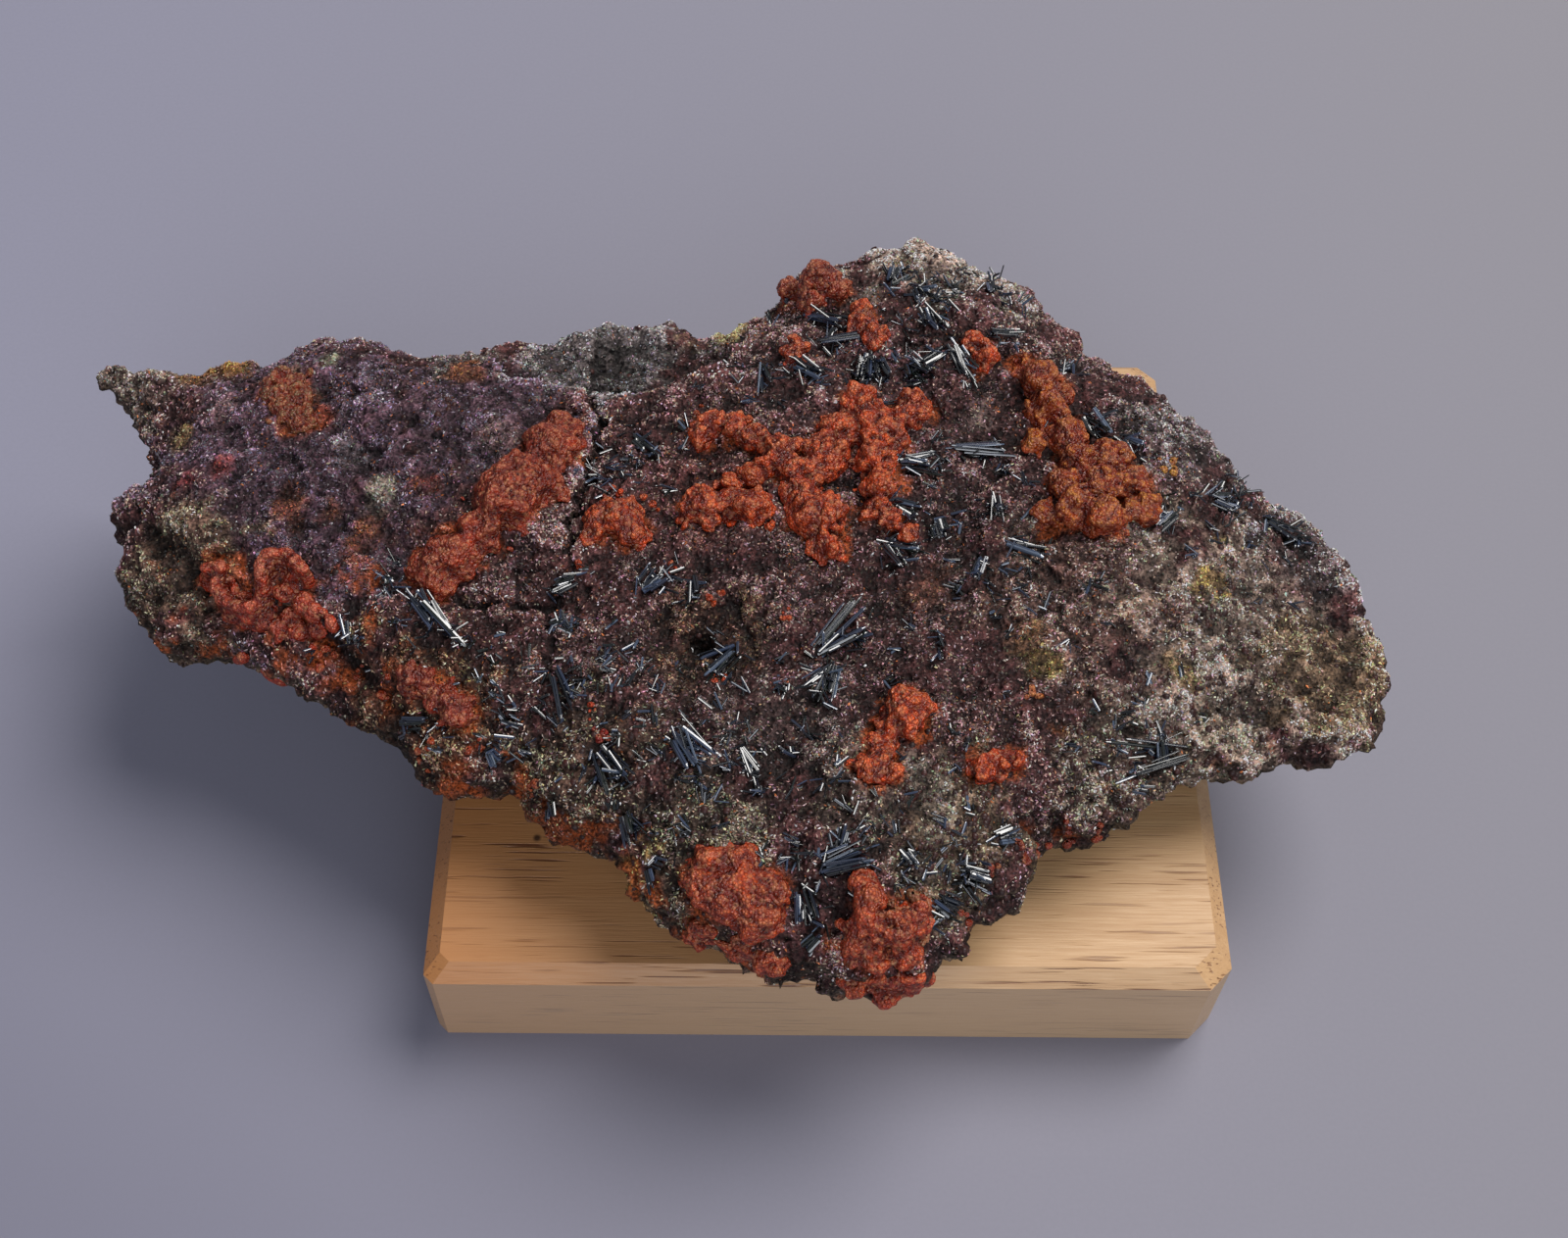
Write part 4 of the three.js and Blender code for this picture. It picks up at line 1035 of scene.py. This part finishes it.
# Each face's painted hollow shade, which darkens its grains and thins them
face_hollow_shade = slab_hollow_shade[slab_quads].mean(axis=1)
weight = grain_weight(face_middle, face_normal, face_hollow_shade)
places, chosen = scatter(slab_points, slab_quads, GRAIN_COUNT, weight)
pit_gap = cell_noise(places + 0.2 * point_noise(places, 0.8)[:, None], PIT_SPACING, 0.8)[0]
kept = rng.random(GRAIN_COUNT) < 0.06 + smoothstep(0.27, 0.36, pit_gap)
places, chosen = places[kept][:GRAIN_LIMIT], chosen[kept][:GRAIN_LIMIT]
grain_points = grain_shapes(places, face_normal[chosen])
grain_tints = grain_colours(places, face_hollow_shade[chosen])
grain_look = grain_material()
order = np.argsort(places[:, 0], kind="stable")
for number, part in enumerate(np.array_split(order, GRAIN_SETS)):
    faces = (GRAIN_SIDES[None] + 5 * np.arange(len(part))[:, None, None]).reshape(-1, 3)
    corners = grain_points[part].reshape(-1, 3)
    tints = np.repeat(grain_tints[part], 5, axis=0)
    skin = make_piece(f"drusy_skin_{number}", corners, [faces], grain_look, tint=tints)


# Dark round granules on the crown: centre, spread, how many
DOT_FIELDS = [
    (16, -48, 8, 300), (44, -34, 9, 170), (-20, -48, 8, 130), (60, -12, 14, 280), (18, 55, 9, 130),
    (-38, -36, 8, 90), (-62, 12, 16, 160), (6, 30, 9, 100), (0, -10, 20, 160),
]
DOT_SIDES = 7
DOT_CORNERS = 2 * DOT_SIDES + 1
DOT_RADIUS = (0.3, 0.62)
DOT_COLOUR = (52, 24, 20)


def dot_places():
    """Places for the round granules, and the way the slab faces there."""
    held = []
    crown = np.flatnonzero(slab_normals[:, 2] > 0.2)
    for x, y, spread, count in DOT_FIELDS:
        chance = np.exp(-0.5 * (away_from(x, y, slab_points[crown]) / spread) ** 2)
        held.append(rng.choice(crown, count, p=chance / chance.sum()))
    held = np.concatenate(held)
    return slab_points[held], slab_normals[held]


def dot_shapes(places, ways):
    """The corners of each round granule: two uneven rings, then the tip."""
    across = unit(np.cross(ways, rng.normal(size=ways.shape)))
    along = np.cross(across, ways)
    radius = rng.uniform(*DOT_RADIUS, (len(places), 1))
    corners = []
    for share, lift in ((1.0, -0.1), (0.7, 0.35)):
        for turn in np.arange(DOT_SIDES) * 2 * math.pi / DOT_SIDES:
            spoke = radius * share * rng.uniform(0.8, 1.15, radius.shape)
            outward = math.cos(turn) * across + math.sin(turn) * along
            corners.append(places + spoke * outward + lift * radius * ways)
    corners.append(places + 0.5 * radius * ways)
    return np.stack(corners, axis=1).reshape(-1, 3)


def dot_faces(count):
    """The walls and the caps of a number of round granules."""
    a = np.arange(DOT_SIDES)
    b = (a + 1) % DOT_SIDES
    walls = np.stack([a, b, b + DOT_SIDES, a + DOT_SIDES], axis=1)
    caps = np.stack([a + DOT_SIDES, b + DOT_SIDES, np.full(DOT_SIDES, 2 * DOT_SIDES)], axis=1)
    first = DOT_CORNERS * np.arange(count)[:, None, None]
    return [(walls[None] + first).reshape(-1, 4), (caps[None] + first).reshape(-1, 3)]


dot_roots, dot_ways = dot_places()
dot_count = len(dot_roots)
dot_points = dot_shapes(dot_roots, dot_ways)
dot_tints = linear(*DOT_COLOUR) * rng.uniform(0.5, 1.6, (dot_count, 1))
dot_tints = np.repeat(dot_tints, DOT_CORNERS, axis=0)
dots = make_piece(
    "dark_granules", dot_points, dot_faces(dot_count), grain_look, tint=dot_tints, smooth=True
)


# Orange crusts
def add_lump(field, low, centre, normal, radius, height, rounding):
    """Joins one lump to a crust's field, in the part of the lattice that it can reach."""
    reach = radius * max(1, height) + 1
    first = np.maximum(((centre - reach - low) / CRUST_NET).astype(int), 0)
    last = np.minimum(((centre + reach - low) / CRUST_NET).astype(int) + 1, field.shape)
    window = tuple(slice(a, b) for a, b in zip(first, last))
    grid = np.stack(np.meshgrid(*[np.arange(a, b) for a, b in zip(first, last)], indexing="ij"), axis=-1)
    gap = low + grid * CRUST_NET - centre
    raised = gap @ normal
    flat = np.maximum((gap ** 2).sum(axis=-1) - raised ** 2, 0)
    distance = np.sqrt(flat + (raised / height) ** 2) - radius
    field[window] = smooth_min(field[window], distance, rounding)


def crust_lumps(name):
    """A crust's lumps, and smaller lumps grown all over them, as centre, normal, radius, height."""
    height, lumps = CRUSTS[name]
    sunk = GRANULAR_CRUSTS.get(name, LOOSE_CRUST)[0]
    grown = []
    for x, y, radius in lumps:
        place, normal = ground(x, y)
        centre = place + 0.1 * radius * normal
        radius = 1.1 * radius
        grown.append((centre, normal, 0.95 * radius, height))
        for _ in range(int(11 * radius)):
            way = unit(rng.normal(size=3) + 0.5 * normal)
            raised = way @ normal
            share = rng.uniform(0.78, 0.98) - sunk
            spot = centre + share * radius * (way + (height - 1) * raised * normal)
            grown.append((spot, normal, rng.uniform(0.35, 0.5 + 0.22 * radius), 1.0))
        for _ in range(int(1.2 * radius)):
            turn = rng.uniform(0, 2 * math.pi)
            away = radius * rng.uniform(1.0, 1.4)
            spot, facing = ground(x + away * math.cos(turn), y + away * math.sin(turn))
            grown.append((spot + 0.1 * facing, facing, rng.uniform(0.3, 0.6), 0.8))
    for *spot, reach in OVERHANGS.get(name, []):
        near = np.flatnonzero(np.linalg.norm(slab_points - spot, axis=1) < reach)
        for at in rng.choice(near, min(16, len(near)), replace=False):
            grown.append((slab_points[at], slab_normals[at], rng.uniform(0.6, 1.4), 1.0))
    return grown


def curl_wall():
    """Lumps stacked along the curled ribbon, which make its standing wall."""
    ribbon = np.array(CURL_RIBBON)
    steps = np.linspace(0, len(ribbon) - 1, CURL_STEPS)
    path = np.stack([np.interp(steps, range(len(ribbon)), ribbon[:, i]) for i in range(2)], axis=1)
    lumps = []
    for x, y in path:
        place, normal = ground(x, y)
        for level in CURL_LEVELS:
            wobble = rng.normal(size=3) * 0.1
            spot = place + (level * CURL_HEIGHT - 0.4) * np.array([-0.1, 0.1, 1]) + wobble
            lumps.append((spot, normal, CURL_HALF_WIDTH * rng.uniform(0.8, 1.15), 1.0))
    return lumps


def crust_surface(lumps, rounding, rough):
    """Points and quads of the surface over lumps that run into each other."""
    centres = np.array([lump[0] for lump in lumps])
    room = max(lump[2] * max(1, lump[3]) for lump in lumps) + 1.5
    low = centres.min(axis=0) - room
    shape = ((centres.max(axis=0) + room - low) / CRUST_NET).astype(int) + 1
    field = np.full(shape, 9.0)
    for lump in lumps:
        add_lump(field, low, *lump, rounding)
    lattice = [low[axis] + CRUST_NET * np.arange(shape[axis]) for axis in range(3)]
    field += rough * (0.75 * grid_noise(*lattice, 2.3) + 0.4 * grid_noise(*lattice, 1.2, 5))
    return surface_net(field, low, CRUST_NET)


def granulated(points, quads, rough):
    """The surface raised into bubbles and seeds, and a value from 0 to 1 for each bubble."""
    bubbles, value = cell_noise(points + 0.5 * point_noise(points, 1.7)[:, None], 1.5)
    seeds, _ = cell_noise(points, 0.75, 0.5)
    coarse = smoothstep(-0.4, 0.4, point_noise(points, 3.5, 0.4))
    offset = (0.35 + 0.45 * coarse) * (0.42 - bubbles) + (0.12 + 0.25 * coarse) * (0.5 - seeds)
    return points + rough * point_normals(points, quads) * offset[:, None], value


def crust_colours(name, points, quads, rise, value):
    """Painted shade in deep orange in the hollows, painted light in bright orange on the bulges, in uneven
    patches, and pale dust on the tops.
    """
    bright, dusty, dust_share = CRUST_TONES.get(name, USUAL_TONES)
    normals = point_normals(points, quads)
    bulging = -0.5 * cavity(points, quads, normals, 2) - 0.5 * cavity(points, quads, normals, 10)
    patch = point_noise(points, 2.6) + 0.6 * point_noise(points, 1.1)
    # Painted light on bulges and painted shade in hollows, broken up by patches
    lit_share = smoothstep(-0.8, 0.9, bulging + 0.9 * patch)[:, None]
    top = smoothstep(0.0, 0.9, normals[:, 2]) * smoothstep(0.3, 2.0, rise)
    dust = (dust_share * top * smoothstep(0.0, 1.3, bulging + 0.6 * patch))[:, None]
    colour = blend(linear(*SHADED_ORANGE), linear(*bright), lit_share)
    colour = colour * (0.7 + 0.6 * value[:, None])
    return blend(colour, linear(*dusty), np.clip(dust, 0, 0.9))


# Colour of the painted shade in the crusts' hollows
SHADED_ORANGE = (56, 11, 4)
# Colours of a crust: where it bulges and takes painted light, its dust, share of dust
USUAL_TONES = ((206, 70, 14), (200, 120, 72), 0.7)
CRUST_TONES = {
    "diagonal": ((158, 54, 22), (160, 94, 64), 0.95),
    "right": ((160, 66, 16), (178, 116, 46), 0.9),
    "left_curl": ((180, 56, 24), (204, 122, 92), 0.95),
    "left_top": ((104, 72, 40), (128, 108, 76), 1.0),
    "back": ((156, 60, 32), (160, 108, 76), 0.9),
    "nose_left": ((184, 66, 20), (190, 112, 70), 0.85),
    "nose_right": ((184, 62, 18), (186, 110, 70), 0.7),
    "left_front": ((136, 48, 26), (140, 88, 66), 0.7),
}
# A crust's mesh is left out where it lies lower than this against the slab's upper surface; the
# second level is for crusts that hang over the rim
BURIED = -0.9
FAR_BELOW = -9
crust_look = crust_material()
for name in CRUSTS:
    lumps = crust_lumps(name)
    rough = 1.0
    if name == "left_curl":
        lumps += curl_wall()
        rough = CURL_ROUGHNESS
    points, quads = crust_surface(lumps, GRANULAR_CRUSTS.get(name, LOOSE_CRUST)[1], rough)
    points, value = granulated(points, quads, rough)
    rise = points[:, 2] - lattice_lookup(heights, points[:, 0], points[:, 1])
    shown = (rise > (FAR_BELOW if name in OVERHANGS else BURIED))[quads].any(axis=1)
    kept, numbers = np.unique(quads[shown], return_inverse=True)
    quads = numbers.reshape(-1, 4)
    points, rise, value = (v[kept] for v in (points, rise, value))
    colour = crust_colours(name, points, quads, rise, value)
    crust = make_piece(f"orange_{name}", points, [quads], crust_look, tint=colour, smooth=True)
    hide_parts(f"crust_{name}")


# Crystal blades: across and up for each corner of a striated blade's section, in widths
BLADE_SECTION = np.array([
    (-0.5, 0.0), (-0.44, 0.78), (-0.1, 0.98), (-0.04, 0.6), (0.03, 0.96), (0.43, 0.9), (0.5, 0.1),
    (0.3, -0.5), (-0.3, -0.5),
])
BLADE_WIDTH = (0.24, 0.56)
BROADER = 1.6
BLADE_SPACING = 0.38
NEEDLE_WIDTH = (0.16, 0.45)
# How many blades take the slate-blue colours below, which are a painted reflection of the bluish sky
SKY_SHEEN_SHARE = 0.25
DARK_BLADES = [(16, 20, 28), (18, 22, 26), (20, 28, 24), (22, 30, 44)]
SKY_SHEEN_BLADES = [(58, 70, 94), (78, 92, 112), (46, 54, 74)]
# How far a flashing blade strays from the exact way, and the shares of blades that flash
FLASH_JITTER = 0.12
BRIGHT_FLASHES = 0.5
USUAL_FLASHES = 0.2
NEEDLE_FLASHES = 0.12
FILL_FLASHES = 0.6
# Sprays whose flat faces catch a light in the photo
BRIGHT_SPRAYS = (
    "left_blade", "left_pale", "low_middle", "middle_bright", "pale_plate", "back_bright", "back_fan",
    "upright", "right_flat", "crack_bright", "centre_fan", "low_left", "back_right", "back_centre",
    "back_large", "right_top",
)


def halfway(place, lamp):
    """The way from a place that lies midway between the camera and a lamp."""
    to_camera = unit(np.array(CAMERA_PLACE) - place)
    return unit(to_camera + unit(np.array(lamp) / MILLIMETRE - place))


def flash_way(place, way):
    """The way a face turns to send one of the lights to the camera, for a blade along `way`."""
    to_fill = halfway(place, FILL_PLACE)
    if rng.random() < FILL_FLASHES and abs(way @ to_fill) < 0.3:
        return to_fill
    return halfway(place, KEY_PLACE)


def laid_for_flash(start, way, reach):
    """A blade turned a little so that its flat face flashes, and seated again on the slab."""
    middle = start + 0.5 * reach * way
    up = unit(flash_way(middle, way) + FLASH_JITTER * rng.normal(size=3))
    way = unit(way - (way @ up) * up)
    ends = np.array([middle - 0.5 * reach * way, middle + 0.5 * reach * way])
    floor_heights = lattice_lookup(heights, ends[:, 0], ends[:, 1])
    lift = (floor_heights - ends[:, 2]).max() - rng.uniform(-0.1, 0.4)
    return ends[0] + np.array([0, 0, lift]), way, up


def blade_mesh(root, way, up, length, width, thickness):
    """Points and faces of one blade with a slanted tip."""
    across = unit(np.cross(up, way))
    lift = np.cross(way, across)
    count = len(BLADE_SECTION)
    rings = []
    for share, scale, slant in ((0, 1.0, 0.0), (0.93, 0.96, 0.3), (1.0, 0.55, 0.5)):
        side = BLADE_SECTION[:, :1] * width * scale
        rise = BLADE_SECTION[:, 1:] * thickness * scale
        forward = share * length - slant * np.abs(side) - 0.3 * slant * rise
        rings.append(root + forward * way + side * across + rise * lift)
    points = np.concatenate(rings)
    a = np.arange(count)
    b = (a + 1) % count
    walls = []
    for first in (0, count):
        near, far = first, first + count
        walls.append(np.stack([a + near, b + near, b + far, a + far], 1))
    fan = np.stack([np.zeros(count - 2, int), np.arange(1, count - 1), np.arange(2, count)], 1)
    caps = [fan, fan[:, ::-1] + 2 * count]
    along = np.repeat([0, 0.9, 1], count) * length
    run = np.column_stack([np.tile(BLADE_SECTION[:, 0] * width, 3), along])
    return points, np.concatenate(walls)[:, ::-1], np.concatenate(caps)[:, ::-1], run


def blade_piece(name, blades, material):
    """Joins blades, each given as root, direction, up, length, width, thickness and colour."""
    parts = []
    first = 0
    for number, (root, way, up, length, width, thickness, colour) in enumerate(blades):
        points, walls, caps, run = blade_mesh(root, way, up, length, width, thickness)
        run = np.column_stack([run, np.full(len(run), number * 3.7)])
        parts.append((points, walls + first, caps + first, run, np.tile(colour, (len(points), 1))))
        first += len(points)
    points, walls, caps, run, tint = (np.concatenate(v) for v in zip(*parts))
    return make_piece(name, points, [walls, caps], material, tint=tint, run=run)


def blade_colour():
    # Some blades take the slate-blue painted sky reflection, the others their own near-black colour
    shades = SKY_SHEEN_BLADES if rng.random() < SKY_SHEEN_SHARE else DARK_BLADES
    return linear(*shades[rng.integers(len(shades))])


def on_crown(x, y):
    """Whether a place lies well inside the slab's upper surface."""
    return trimmed_inside(np.array([x]), np.array([y]))[0] > CROWN_MARGIN


def needle(x, y, size, spread, heading):
    """A short blade standing on the slab at about a heading."""
    start, normal = ground(x, y)
    turn = heading + rng.uniform(-spread, spread)
    way = unit(np.array([math.cos(turn), math.sin(turn), rng.uniform(0.05, 0.8)]))
    width = rng.uniform(*NEEDLE_WIDTH)
    up = unit(normal + 0.5 * rng.normal(size=3))
    if rng.random() < NEEDLE_FLASHES:
        start, way, up = laid_for_flash(start, way, size)
    return start - 0.2 * way, way, up, size, width, 0.5 * width, blade_colour()


def ground_beside(x, y, turn, along, aside):
    """The slab's surface so far along a heading from a place and so far aside of it."""
    return ground(
        x - math.sin(turn) * aside + along * math.cos(turn),
        y + math.cos(turn) * aside + along * math.sin(turn),
    )


def blade_bundle(x, y, heading, length, middle, flashes):
    """A few long blades side by side, their middle so far aside of the spray's root."""
    blades = []
    bundle_turn = math.radians(heading + rng.normal() * 6)
    tall = rng.uniform(0.3, 1.6)
    roll = 0.4 * rng.normal(size=3)
    bundle_reach = length * rng.uniform(0.6, 1.0)
    for i in range(rng.integers(2, 5)):
        turn = bundle_turn + 0.02 * rng.normal()
        reach = bundle_reach * rng.uniform(0.75, 1.0)
        width = rng.uniform(*BLADE_WIDTH) * (BROADER if i == 1 else 1.0)
        aside = middle + (i - 1) * BLADE_SPACING + 0.08 * rng.normal()
        back = rng.uniform(-0.15, 0.15) * length
        start, normal = ground_beside(x, y, turn, back, aside)
        end, end_normal = ground_beside(x, y, turn, reach, aside)
        start = start + normal * rng.uniform(0.0, 0.5)
        end = end + end_normal * (tall + rng.uniform(-0.15, 0.25))
        way = unit(end - start)
        up = unit(normal + roll + 0.05 * rng.normal(size=3))
        if rng.random() < flashes:
            start, way, up = laid_for_flash(start, way, reach)
        thickness = width * rng.uniform(0.4, 0.7)
        blades.append((start, way, up, reach, width, thickness, blade_colour()))
    return blades


def spray_blades(x, y, heading, length, count, fan, flashes=USUAL_FLASHES):
    """A spray's long blades in parallel bundles, with short needles crossing at their roots."""
    blades = []
    for bundle in range(count):
        share = (bundle + 0.5) / count - 0.5
        bundle_heading = heading + share * fan * 1.4
        blades += blade_bundle(x, y, bundle_heading, length, share * count * 0.7, flashes)
    turn = math.radians(heading)
    for _ in range(7 * count):
        away = length * rng.uniform(-0.15, 0.7)
        aside = 1.1 * rng.normal(size=2)
        spot = (x + away * math.cos(turn) + aside[0], y + away * math.sin(turn) + aside[1])
        if on_crown(*spot):
            blades.append(needle(*spot, rng.uniform(0.9, 3.2), 1.6, turn))
    return blades


crystal_look = crystal_material()
for name, spray in SPRAYS.items():
    flashes = BRIGHT_FLASHES if name in BRIGHT_SPRAYS else USUAL_FLASHES
    blades = spray_blades(*spray, flashes)
    piece = blade_piece(f"blades_{name}", blades, crystal_look)
    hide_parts(f"crystals_{name}")
small = [blade for spray in SMALL_SPRAYS for blade in spray_blades(*spray)]
blade_piece("blades_small", small, crystal_look)

# Tufts of short needles: where they gather, how far they spread, how many
TUFT_FIELDS = [
    (-50, -30, 13, 34), (-26, -38, 13, 44), (-2, -34, 16, 40), (8, 38, 13, 36), (27, 8, 16, 30),
    (66, 6, 13, 34), (46, -33, 9, 26), (14, -53, 8, 22), (-31, 12, 8, 18), (-36, -20, 10, 20),
    (-66, -14, 8, 16), (24, 52, 10, 20), (-6, -56, 7, 14), (-12, 30, 9, 16), (20, -12, 14, 16),
]
tufts = []
for x, y, spread, count in TUFT_FIELDS:
    for _ in range(count):
        spot = (x + rng.normal() * spread * 0.6, y + rng.normal() * spread * 0.6)
        if not on_crown(*spot):
            continue
        heading = rng.uniform(-math.pi, math.pi)
        for _ in range(rng.integers(3, 7)):
            beside = spot + 0.4 * rng.normal(size=2)
            tufts.append(needle(*beside, rng.uniform(0.9, 3.0), 1.0, heading))
blade_piece("needle_tufts", tufts, crystal_look)

# Small orange, ochre and brown specks on the slab: place, radius, colour
SPECKS = [
    (-17.4, -11.4, 1.3, (190, 76, 30)), (-16.4, -25.3, 1.0, (180, 70, 30)),
    (-32.7, -33.9, 1.3, (140, 40, 34)), (53, 14.4, 1.5, (190, 140, 60)),
    (-59.1, -33.9, 1.5, (176, 78, 34)), (-35, -31, 1.0, (170, 64, 28)),
    (26.1, -50.1, 1.6, (110, 44, 26)), (30.5, -47.5, 1.3, (116, 50, 30)), (34, -45, 1.4, (104, 44, 28)),
    (38.5, -44.2, 1.2, (120, 56, 32)), (22.5, -53.5, 1.2, (100, 42, 26)), (18, -58.8, 1.3, (110, 48, 28)),
    (-24.6, -6.6, 0.9, (176, 66, 28)), (-38, -7, 0.9, (170, 70, 34)), (28.9, -26.8, 1.0, (176, 112, 56)),
    (-27.5, 5.5, 1.1, (184, 74, 30)), (-33.5, 6.5, 1.0, (176, 66, 26)), (-66, -24, 1.4, (158, 66, 32)),
    (-52, -34, 1.2, (150, 60, 32)), (-43, -39.5, 1.2, (164, 84, 40)), (-70.5, -20, 1.2, (164, 70, 36)),
    (-75.5, -18, 1.4, (170, 74, 40)), (-20.5, 23, 1.0, (184, 80, 36)), (-6.5, -14.5, 0.8, (180, 76, 36)),
    (9, -59, 1.8, (156, 120, 82)), (11.8, -62.5, 2, (150, 116, 84)), (8, -65.5, 1.6, (140, 104, 74)),
]


SPECK_SIDES = 12
SPECK_RINGS = 8


def speck_mesh(place, radius):
    """A lumpy ball, half sunk in the slab."""
    turns = np.linspace(0, 2 * math.pi, SPECK_SIDES + 1)[:-1]
    around, upward = np.meshgrid(turns, np.linspace(-1.4, 1.4, SPECK_RINGS))
    level = np.cos(upward)
    ball = np.stack([level * np.cos(around), level * np.sin(around), np.sin(upward)], -1)
    ball = ball.reshape(-1, 3)
    at = ball * radius + place
    lumpy = 1 + 0.5 * point_noise(at, 0.8) + 0.2 * point_noise(at, 0.4)
    near = np.arange(SPECK_SIDES)
    beside = (near + 1) % SPECK_SIDES
    rows = SPECK_SIDES * np.arange(SPECK_RINGS - 1)[:, None]
    above = rows + SPECK_SIDES
    quads = np.stack([rows + near, rows + beside, above + beside, above + near], -1)
    return place + ball * radius * lumpy[:, None] * (1, 1, 0.8), quads.reshape(-1, 4)


speck_points, speck_quads, speck_tints = [], [], []
upper = np.flatnonzero(slab_normals[:, 2] > 0.1)
for x, y, radius, colour in SPECKS:
    away = away_from(x, y, slab_points[upper])
    near = upper[np.argsort(away)[:int(12 * radius ** 2)]]
    for at in rng.choice(near, 5):
        ball, quads = speck_mesh(slab_points[at], radius * rng.uniform(0.3, 0.6))
        speck_quads.append(quads + sum(len(part) for part in speck_points))
        speck_points.append(ball)
        speck_tints.append(np.tile(linear(*colour) * rng.uniform(0.6, 1.1), (len(ball), 1)))
specks = make_piece(
    "orange_specks",
    np.concatenate(speck_points),
    [np.concatenate(speck_quads)],
    crust_look,
    tint=np.concatenate(speck_tints),
    smooth=True,
)

# The display block
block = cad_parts["display_block"]
block.data.materials.clear()
block.data.materials.append(wood_material())
bevel = block.modifiers.new("soft_edges", "BEVEL")
bevel.width = BLOCK_BEVEL * MILLIMETRE
bevel.segments = BEVEL_SEGMENTS
bevel.limit_method = "ANGLE"
bevel.harden_normals = True

# The floor, the light and the camera
bpy.ops.mesh.primitive_plane_add(size=FLOOR_SIZE)
floor = bpy.context.object
floor.name = "floor"
floor.data.materials.append(floor_material())


def add_light(name, place, size, power, colour):
    light = bpy.data.lights.new(name, "AREA")
    light.shape = "DISK"
    light.size = size
    light.energy = power
    light.color = colour
    lamp = bpy.data.objects.new(name, light)
    lamp.location = place
    aim = Vector(LIGHT_TARGET) - Vector(place)
    lamp.rotation_euler = aim.to_track_quat("-Z", "Y").to_euler()
    bpy.context.collection.objects.link(lamp)


add_light("key", KEY_PLACE, KEY_SIZE, KEY_POWER, KEY_COLOUR)
add_light("fill", FILL_PLACE, FILL_SIZE, FILL_POWER, FILL_COLOUR)
world = bpy.data.worlds.new("studio")
world.use_nodes = True
backdrop = world.node_tree.nodes["Background"]
backdrop.inputs["Color"].default_value = WORLD_COLOUR
backdrop.inputs["Strength"].default_value = WORLD_STRENGTH
bpy.context.scene.world = world
bpy.context.scene.view_settings.view_transform = "Standard"


def camera_turn():
    """The camera's axes as a matrix: right, up and back."""
    pitch, yaw, roll = (math.radians(v) for v in (CAMERA_PITCH, CAMERA_YAW, CAMERA_ROLL))
    level = math.cos(pitch)
    ahead = Vector((math.sin(yaw) * level, math.cos(yaw) * level, -math.sin(pitch)))
    across = Vector((math.cos(yaw), -math.sin(yaw), 0))
    over = across.cross(ahead)
    right = across * math.cos(roll) + over * math.sin(roll)
    up = over * math.cos(roll) - across * math.sin(roll)
    return Matrix((right, up, -ahead)).transposed()


lens = bpy.data.cameras.new("camera")
lens.sensor_width = SENSOR_WIDTH
lens.lens = CAMERA_LENS
lens.clip_start = 0.01
camera = bpy.data.objects.new("camera", lens)
camera.matrix_world = Matrix.Translation(Vector(CAMERA_PLACE) * MILLIMETRE) @ camera_turn().to_4x4()
bpy.context.collection.objects.link(camera)
bpy.context.scene.camera = camera
